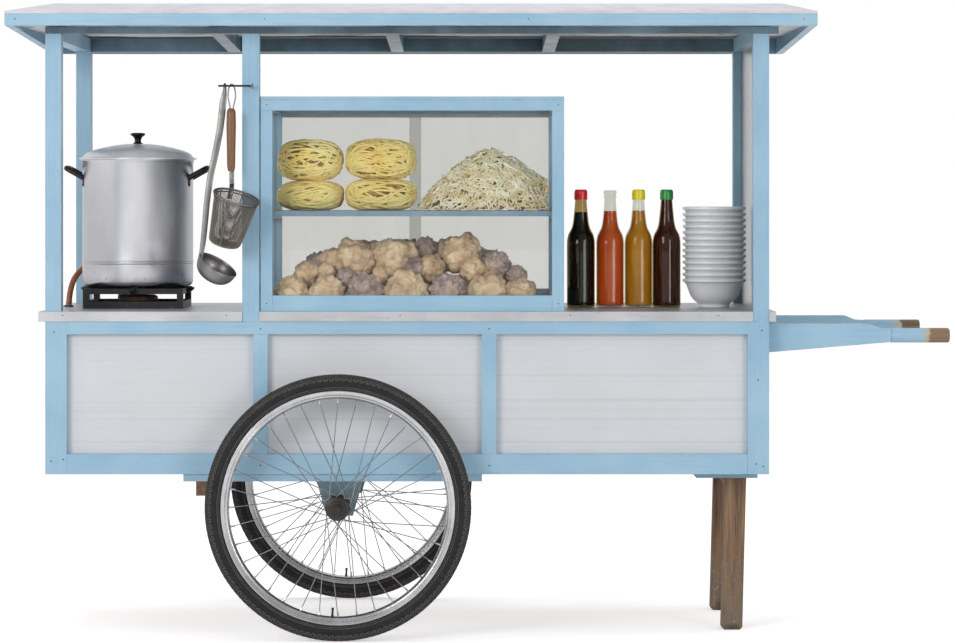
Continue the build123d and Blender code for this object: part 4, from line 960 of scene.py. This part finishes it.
def make_noodles():
    """Four hanks of noodles: strands lie along each hank and turn round its ends."""
    # Top strands; deeper strands painted darker as shade; the core painted darkest as the shade between the
    # strands
    finishes = (
        dough("noodle_dough", srgb(255, 234, 156), srgb(248, 212, 112), 9),
        dough("noodle_deep", srgb(202, 160, 70), srgb(154, 116, 44), 12),
        dough("noodle_core", srgb(150, 114, 48), srgb(108, 78, 30), 14),
    )
    # Middle from the case's left side, width, bottom above the shelf and height, as in the frame
    hanks = ((117, 166, 76, 104), (117, 168, 0, 76), (297, 180, 80, 102), (297, 181, 0, 80))
    depth = 150 * MM
    for number, (place, width, low, height) in enumerate(hanks, 1):
        half = Vector((width / 2 * MM, depth / 2, height / 2 * MM))
        centre = Vector((case_low.x + place * MM, middle("noodles").y, shelf_z + low * MM + half.z))
        make_hank(number, centre, half, finishes)


def make_hank(number, centre, half, finishes):
    """One hank: a core painted dark as the shade between its strands, deeper strands painted darker as
    shade, and paler ones on top of them.
    """
    strands = 310
    radius = 2.8 * MM
    step_length = 9 * MM
    hank, under, core = Shape(), Shape(), Shape()
    core.lump(centre, half, 4, lambda direction: 0.84 * squircle(direction))

    def on_surface(point, level):
        """The point pushed out to the hank's cushion shape."""
        direction = Vector((point[i] - centre[i]) / half[i] for i in range(3)).normalized()
        reach = squircle(direction) * level * (0.985 + 0.05 * noise.noise(direction * 1.7 + centre * 9))
        return centre + Vector(direction[i] * half[i] * reach for i in range(3))

    for index in range(strands):
        start = Vector([chance.gauss(0, 1) for _ in range(3)]).normalized()
        if start.z < -0.75:
            continue
        deep = index % 5 < 2
        level = chance.uniform(0.87, 0.91) if deep else chance.uniform(0.93, 0.985)
        point = on_surface(centre + Vector(start[i] * half[i] for i in range(3)), level)
        outward = Vector(start[i] / half[i] for i in range(3)).normalized()
        tilt = chance.gauss(0, 0.3)
        if abs(start.x) > 0.7:
            tilt = chance.uniform(-1.5, 1.5)
        heading = 1 if index % 2 else -1
        ahead = Vector((heading * math.cos(tilt), 0.35 * math.sin(tilt), math.sin(tilt)))
        bend = chance.gauss(0, 0.05)
        line = [point]
        for _ in range(int(chance.uniform(90, 210) * MM / step_length)):
            ahead -= outward * ahead.dot(outward)
            ahead.normalize()
            bend = 0.86 * (bend + chance.gauss(0, 0.035))
            ahead = (ahead + outward.cross(ahead) * bend).normalized()
            after = on_surface(point + ahead * step_length, level)
            ahead = (after - point).normalized()
            point = after
            outward = Vector((point[i] - centre[i]) / half[i] ** 2 for i in range(3)).normalized()
            wave = noise.noise(point * 28 + Vector((index, 0, 0))) * 3.4 * MM
            line.append(point + outward * wave)
        (under if deep else hank).tube(line, radius * chance.uniform(0.85, 1.15), 5)
    for shape in (under, hank):
        shape.points = [(x, y, max(z, centre.z - half.z + 0.4 * MM)) for x, y, z in shape.points]
    top_dough, shade_strand_dough, shade_core_dough = finishes
    core.finish("noodle_core_%d" % number, shade_core_dough, "cart", "noodle")
    under.finish("noodle_under_%d" % number, shade_strand_dough, "cart", "noodle", [], 60)
    stands_for = ["noodles"] if number == 1 else []
    hank.finish("noodle_hank_%d" % number, top_dough, "cart", "noodle", stands_for, 60)


def make_sprouts():
    """A loose heap of thick curly sprouts on a mound, steeper at its right end."""
    low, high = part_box("sprouts")
    centre = (low + high) / 2
    peak_x = centre.x + 14 * MM
    half_y = (high.y - low.y) / 2

    def surface(u, v):
        """A point on the mound: u runs from left to right, v from front to back, each -1 to 1."""
        reach = min(1.0, math.hypot(u, v))
        height = (high.z - low.z) * 0.87 * (1 - reach ** 1.5) ** 0.9
        x = peak_x + (u * (peak_x - low.x) if u < 0 else u * 1.32 * (high.x - peak_x))
        return Vector((min(x, high.x - 5 * MM), centre.y + half_y * 0.96 * v, low.z + 2 * MM + height))

    core = Shape()
    levels = 13
    rows = []
    for level in range(levels + 1):
        reach = 0.97 * (1 - level / levels)
        row = [surface(reach * math.cos(a), reach * math.sin(a)) for a in turns(48)]
        rows.append([Vector((x, y, max(z - 8 * MM, low.z + 0.5 * MM))) for x, y, z in row])
    core.grid(rows)
    # The mound under the sprouts is painted dark as the shade between them
    shade = dough("sprout_shade", srgb(104, 90, 44), srgb(66, 56, 28), 30)
    core.finish("sprout_core", shade, "cart", "sprout", ["sprouts"])
    stems, heads = Shape(), Shape()
    steps = 9
    # How far the strands stay inside the mound's box
    margins = (3 * MM, 3 * MM, 2.5 * MM)
    for index in range(1020):
        away = 0.98 * chance.uniform(0, 1) ** 0.42
        around = chance.uniform(0, math.tau) if index % 3 == 0 else chance.uniform(math.pi, math.tau)
        u, v = away * math.cos(around), away * math.sin(around)
        east = (surface(min(0.99, u + 0.03), v) - surface(u - 0.03, v)).normalized()
        north = (surface(u, v + 0.03) - surface(u, v - 0.03)).normalized()
        normal = east.cross(north).normalized()
        turn = chance.uniform(0, math.tau)
        ahead = east * math.cos(turn) + north * math.sin(turn)
        lean = chance.uniform(-0.15, 0.35)
        length = chance.uniform(38, 74) * MM
        curl = chance.uniform(-0.5, 0.5)
        point = surface(u, v) - ahead * length / 2 + normal * chance.uniform(-5, 4) * MM
        line = []
        for step in range(steps):
            line.append(Vector(
                min(max(point[i], low[i] + margins[i]), high[i] - margins[i]) for i in range(3)
            ))
            sideways = normal.cross(ahead)
            ahead = (ahead + sideways * (curl + chance.uniform(-0.25, 0.25))).normalized()
            arch = lean * (1 - 2 * step / steps) - 0.16
            point = point + (ahead + normal * arch).normalized() * length / steps
        size = chance.uniform(2.1, 2.9) * MM
        stems.tube(line, [size * share for share in (1.0, 1.05, 1.0, 1.0, 1.0, 0.95, 0.85, 0.65, 0.4)], 5)
        if index % 3 == 0:
            heads.lump(line[0], (3.6 * MM, 2.6 * MM, 2.6 * MM), 1)
    pale = dough("sprout_stem", srgb(255, 246, 222), srgb(226, 204, 148), 34)
    stems.finish("sprout_stems", pale, "cart", "sprout")
    green = dough("sprout_head", srgb(214, 206, 96), srgb(168, 160, 66), 40)
    heads.finish("sprout_heads", green, "cart", "sprout")


def make_meatballs():
    """Big rough meatballs heaped in the lower case: tan ones and darker crumbly ones."""
    # Middle from the case's left side, depth from its front, height, radius, and whether it is crumbly
    balls = (
        (78, 62, 44, 44, 0), (163, 58, 45, 47, 0), (262, 60, 47, 49, 1), (366, 58, 49, 56, 0),
        (470, 60, 47, 47, 1), (568, 60, 46, 51, 0), (652, 64, 42, 42, 0),
        (112, 96, 92, 32, 0), (160, 92, 96, 24, 0), (176, 128, 122, 38, 0), (232, 120, 128, 52, 0),
        (212, 78, 84, 26, 1), (330, 118, 130, 58, 0), (382, 92, 108, 30, 1), (424, 108, 106, 38, 0),
        (410, 168, 150, 36, 1), (505, 118, 142, 52, 0), (532, 88, 104, 34, 0), (588, 116, 114, 38, 1),
        (640, 112, 88, 28, 1), (300, 84, 92, 22, 0), (136, 168, 106, 40, 1), (260, 190, 130, 50, 0),
        (360, 200, 134, 48, 1), (470, 196, 136, 48, 0), (560, 186, 112, 44, 0), (110, 180, 52, 46, 0),
        (210, 186, 48, 46, 0), (310, 186, 48, 46, 1), (410, 186, 48, 46, 0), (510, 186, 48, 46, 0),
        (610, 180, 50, 46, 0),
    )
    tan, crumbly = Shape(), Shape()
    for number, (place, behind, lift, radius, rough) in enumerate(balls):
        seed = Vector((number * 7.3, number * 3.1, number * 1.7))

        def lobes(d, scale, height, level=0.5):
            return height * (level - noise.voronoi(d * scale + seed)[0][0])

        def swell(d, scale, height):
            return height * noise.noise(d * scale + seed)

        def tan_surface(d):
            grit = swell(d, 9, 0.05) + swell(d, 21, 0.03)
            return 0.98 + swell(d, 1.2, 0.14) + lobes(d, 1.9, 0.34, 0.55) + lobes(d, 5.2, 0.14) + grit

        def crumbly_surface(d):
            grit = swell(d, 22, 0.04)
            return 0.97 + swell(d, 1.5, 0.12) + lobes(d, 3.0, 0.42) + lobes(d, 7.5, 0.22) + grit

        centre = Vector((case_low.x + place * MM, case_low.y + behind * MM, counter_z + lift * MM))
        size = (radius * MM, min(radius, behind - 12) * MM, radius * 0.95 * MM)
        shape, surface = (crumbly, crumbly_surface) if rough else (tan, tan_surface)
        shape.lump(centre, size, 5 if behind < 150 and radius > 30 else 4, surface)
    front, ground = case_low.y + 22 * MM, counter_z + 0.4 * MM
    for shape in (tan, crumbly):
        shape.points = [(x, max(y, front), max(z, ground)) for x, y, z in shape.points]
    tan_meat = meat("meat_tan", srgb(232, 207, 170), srgb(200, 171, 135), srgb(134, 104, 76), 2.2)
    tan.finish("meatballs_tan", tan_meat, "cart", "meatball", ["meatballs"], 180)
    crumbly_meat = meat("meat_crumbly", srgb(204, 182, 172), srgb(162, 140, 132), srgb(98, 80, 74), 3.2)
    crumbly.finish("meatballs_crumbly", crumbly_meat, "cart", "meatball", [], 180)


# Bottles and bowls

def make_bottles():
    """Four sauce bottles: glass, what is in them, and three screw caps."""
    foot_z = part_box("bottles")[0].z
    clear = clear_glass("bottle_glass", (0.74, 0.75, 0.7, 1))
    olive = clear_glass("olive_glass", (0.5, 0.42, 0.22, 1))
    # Place along the body, cap colour or none, sauce, the level that it reaches and the glass
    table = (
        (1350, srgb(240, 34, 44), sauce("soy_sauce", srgb(24, 17, 15), srgb(38, 27, 23)), 247, olive),
        (1426, None, sauce("chilli_sauce", srgb(255, 84, 14), srgb(255, 120, 32), 0.5), 250, clear),
        (1500, srgb(255, 236, 16), sauce("vinegar", srgb(216, 134, 4), srgb(246, 172, 26)), 251, clear),
        (1573, srgb(44, 156, 66), sauce("sweet_sauce", srgb(92, 34, 24), srgb(120, 50, 34)), 279, olive),
    )
    # Radius and height in millimetres, from the foot to under the cap, and on to the mouth
    body = eased([
        (0, 1.6), (29, 0.2), (34.4, 2), (36.5, 7), (36.5, 40), (36.5, 110), (36.5, 160), (35.6, 176),
        (32.6, 189), (27.4, 199), (23.4, 208), (20.4, 222), (18, 244), (16, 264), (15, 279),
    ], 4)
    capped = [(15, 280), (16.6, 281.5), (16.8, 284), (15.2, 286), (14.6, 288.5), (16, 290), (16.2, 293),
              (14.6, 295.4), (12, 296)]
    threaded = [(15, 283), (17, 285), (17, 287), (15.2, 289), (15.2, 292), (17, 294), (17.2, 300),
                (15.6, 303.4), (12.5, 304)]
    # The cap's radius, height and whether it is ribbed there
    cap_outline = ((14.8, 279, 0), (16.7, 279.4, 1), (16.8, 283, 1), (16.8, 299, 1), (16.1, 303, 0),
                   (14.3, 305.4, 0), (11, 306, 0), (1e-3, 306, 0))
    wall, rib, ridges = 2, 0.35, 72
    for number, (along, cap_colour, contents, level, glass) in enumerate(table, 1):
        place = Matrix.Translation((body_low.x + along * MM, 0, foot_z))
        first = number == 1
        shell = Shape()
        shell.turned(in_mm(body + (capped if cap_colour else threaded)), place)
        shell.finish("bottle_shell_%d" % number, glass, "cart", "bottle_glass", ["bottles"] if first else [])
        inside = [(r - wall, h) for r, h in body if wall < r and 6 < h < level]
        liquid = Shape()
        liquid.turned(in_mm([(0, 4), (28, 4)] + inside + [(inside[-1][0], level), (0, level)]), place, 56)
        liquid.finish("bottle_sauce_%d" % number, contents, "cart", "bottle_glass")
        if cap_colour:
            cap = Shape()
            rows = []
            for r, h, ribbed in cap_outline:
                radii = [(r + ribbed * rib * (j % 2)) * MM for j in range(ridges)]
                rows.append([place @ Vector((radius * math.cos(a), radius * math.sin(a), h * MM))
                             for radius, a in zip(radii, turns(ridges))])
            cap.grid(rows)
            cap_plastic = plastic("cap_plastic_%d" % number, cap_colour)
            cap.finish("bottle_cap_%d" % number, cap_plastic, "cart", "cap_plastic",
                       ["bottle_caps"] if first else [], 35)


def make_bowls():
    """Thirteen glazed bowls, nested, each a little off the one below."""
    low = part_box("bowls")[0]
    centre = middle("top_bowl")
    count = 13
    pitch = (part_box("top_bowl")[0].z - low.z) / (count - 1)
    # Outside from the foot ring to the rolled rim, then the inside back to the middle
    outline = in_mm([(0, 3.6)] + eased([
        (33, 3.6), (34.4, 0.4), (38.4, 0.2), (39.6, 2), (40, 7), (44, 11), (53, 18), (61, 28), (66.5, 40),
        (71, 52), (75, 60.5), (77.4, 64), (80.6, 65.6), (82.4, 67.6), (82.6, 72), (81.4, 73.6),
        (79.6, 73.6), (77.4, 70), (73.6, 60), (69, 50), (63.6, 39), (57, 29), (48, 21), (38, 16.4), (26, 15),
    ], 3) + [(0, 15)])
    bowls = Shape()
    for index in range(count):
        aside = chance.uniform(-0.2, 0.2) * MM if index else 0
        bowls.turned(outline, Matrix.Translation((centre.x + aside, centre.y, low.z + index * pitch)), 80)
    bowls.finish("bowls_glazed", white_glaze(), "cart", "bowl_glaze", ["bowls", "top_bowl"])


# Ceiling, nails, floor, light and camera

def make_ceiling():
    """The ceiling board, lying on the roof's long rails between the rafters and sagging a little."""
    low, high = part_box("ceiling")
    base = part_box("roof_long_rails")[1].z + 1.5 * MM
    columns, rows = 90, 30
    board = Shape()
    for thickness in (0, 4 * MM):
        grid = []
        for row in range(rows + 1):
            y = low.y + (high.y - low.y) * row / rows
            across = [low.x + (high.x - low.x) * column / columns for column in range(columns + 1)]
            sag = [2.5 * MM * (1 + noise.noise(Vector((x * 2.2, y * 3, 0.5)))) for x in across]
            grid.append([(x, y, base + fall + thickness) for x, fall in zip(across, sag)])
        board.grid(grid, closed_columns=False)
    board.finish("ceiling_board_sagging", ceiling_with_painted_light(0.2, 0.42), "cart", "ceiling_board", ["ceiling"], 60)


def make_nails():
    """Heads of the nails and screws that hold the boards, by their place and radius."""
    front = body_low.y
    edge_low, edge_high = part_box("counter_edging")
    stiles = ((-1077, 437), (-1047, 441), (686, 430), (703, 424), (-1070, 760), (700, 764), (690, 640))
    places = [(x * MM, front, z * MM, 1.9) for x, z in stiles]
    places += [(body_low.x + x * MM, front, z, 1.9)
               for x in (538, 1110) for z in (body_low.z + 22 * MM, body_high.z - 18 * MM)]
    places += [(edge_low.x + x * MM, edge_low.y, (edge_low.z + edge_high.z) / 2 + 3 * MM, 1.6)
               for x in (60, 470, 905, 1330, 1700)]
    places += [(roof_low.x + x * MM, roof_low.y, roof_low.z - 14 * MM, 1.6) for x in (26, 640, 1290, 1968)]
    places += [(x, case_low.y, z, 1.6)
               for x in (case_low.x + 15 * MM, case_high.x - 15 * MM)
               for z in (case_low.z + 20 * MM, case_high.z + 14 * MM)]
    heads = Shape()
    forwards = Vector((0, 0, 1)).rotation_difference(Vector((0, -1, 0))).to_matrix().to_4x4()
    for x, y, z, size in places:
        heads.turned(in_mm([(0, 0.5), (0.6 * size, 0.4), (size, 0.1), (size, -0.4)]),
                     Matrix.Translation((x, y, z)) @ forwards, 12)
    heads.finish("nail_heads", dark_steel, "cart", "dark_steel", [], 60)


def make_floor():
    """A wide white floor that keeps the shadow and else shows as white as the world."""
    reach = 60
    glow = 0.46
    white = (1, 1, 1, 1)
    mesh = bpy.data.meshes.new("studio_floor")
    corners = [(-reach, -reach, 0), (reach, -reach, 0), (reach, reach, 0), (-reach, reach, 0)]
    mesh.from_pydata(corners, [], [(0, 1, 2, 3)])
    finish = Finish("studio_floor", roughness=0.9, specular_ior_level=0.0, emission_color=white)
    seen, _ = finish.sight()
    plain = finish.ramp(finish.noise(3, 3), (0.3, (0.76, 0.76, 0.76, 1)), (0.7, (0.8, 0.8, 0.8, 1)))
    finish.put("Base Color", finish.mix(seen, plain, white))
    finish.put("Emission Strength", finish.times(seen, glow))
    mesh.materials.append(finish.material)
    placed("studio_floor", mesh)


def make_light():
    """An even white world, dimmer as a lamp than as a background, and three soft lamps."""
    ambient, dim_front = 0.56, 0.45
    world = bpy.data.worlds.new("studio")
    bpy.context.scene.world = world
    world.use_nodes = True
    sky = Nodes(world.node_tree)
    seen, mirrored_ray = sky.sight()
    strength = sky.sums("ADD", sky.times(seen, 1 - ambient), ambient)
    # What metal and glass mirror is white behind the cart and greyer towards the room in front of it
    direction = sky.node("ShaderNodeSeparateXYZ", {0: sky.node("ShaderNodeTexCoord").outputs["Generated"]})
    room = sky.fade(direction.outputs["Y"], 0.2, -0.8)
    dimmed = sky.times(sky.times(mirrored_ray, room), dim_front)
    background = sky.tree.nodes["Background"]
    sky.plug(background.inputs["Color"], (1, 1, 1, 1))
    sky.plug(background.inputs["Strength"], sky.times(strength, sky.sums("SUBTRACT", 1, dimmed)))

    aim = Vector((0, 0, 0.9))
    # Name, place, size and power
    lamps = (
        ("key", (-3.4, -5.4, 2.5), 2.4, 132), ("fill", (3.4, -5.6, 1.5), 2.2, 74),
        ("top", (0, 0.4, 4.6), 3.5, 50),
    )
    for name, place, size, power in lamps:
        lamp = bpy.data.lights.new(name, "AREA")
        lamp.size = size
        lamp.energy = power
        lamp_object = placed(name, lamp)
        lamp_object.location = place
        lamp_object.rotation_euler = (aim - Vector(place)).to_track_quat("-Z", "Y").to_euler()


def make_camera():
    """Level view along +Y, as the photograph: its eye level is well above the picture's middle."""
    photo_width = 955
    photo_middle_y = 321.5
    eye_x, eye_y = 476, 195
    focal = 3360
    lens = bpy.data.cameras.new("camera")
    lens.sensor_width = 36
    lens.lens = focal / photo_width * lens.sensor_width
    lens.shift_x = (photo_width / 2 - eye_x) / photo_width
    lens.shift_y = (eye_y - photo_middle_y) / photo_width
    camera = placed("camera", lens)
    camera.location = (-0.015, -8.745, 1.1025)
    camera.rotation_euler = (math.pi / 2, 0, 0)
    bpy.context.scene.camera = camera


finish_packed_pieces()
for wheel in ("front", "rear"):
    make_wheel(wheel)
make_pot()
make_hose()
make_ceiling()
make_rod_eye()
make_ladle()
make_strainer()
make_noodles()
make_sprouts()
make_meatballs()
make_bottles()
make_bowls()
make_nails()
make_floor()
make_light()
make_camera()
bpy.context.scene.view_settings.view_transform = "Standard"
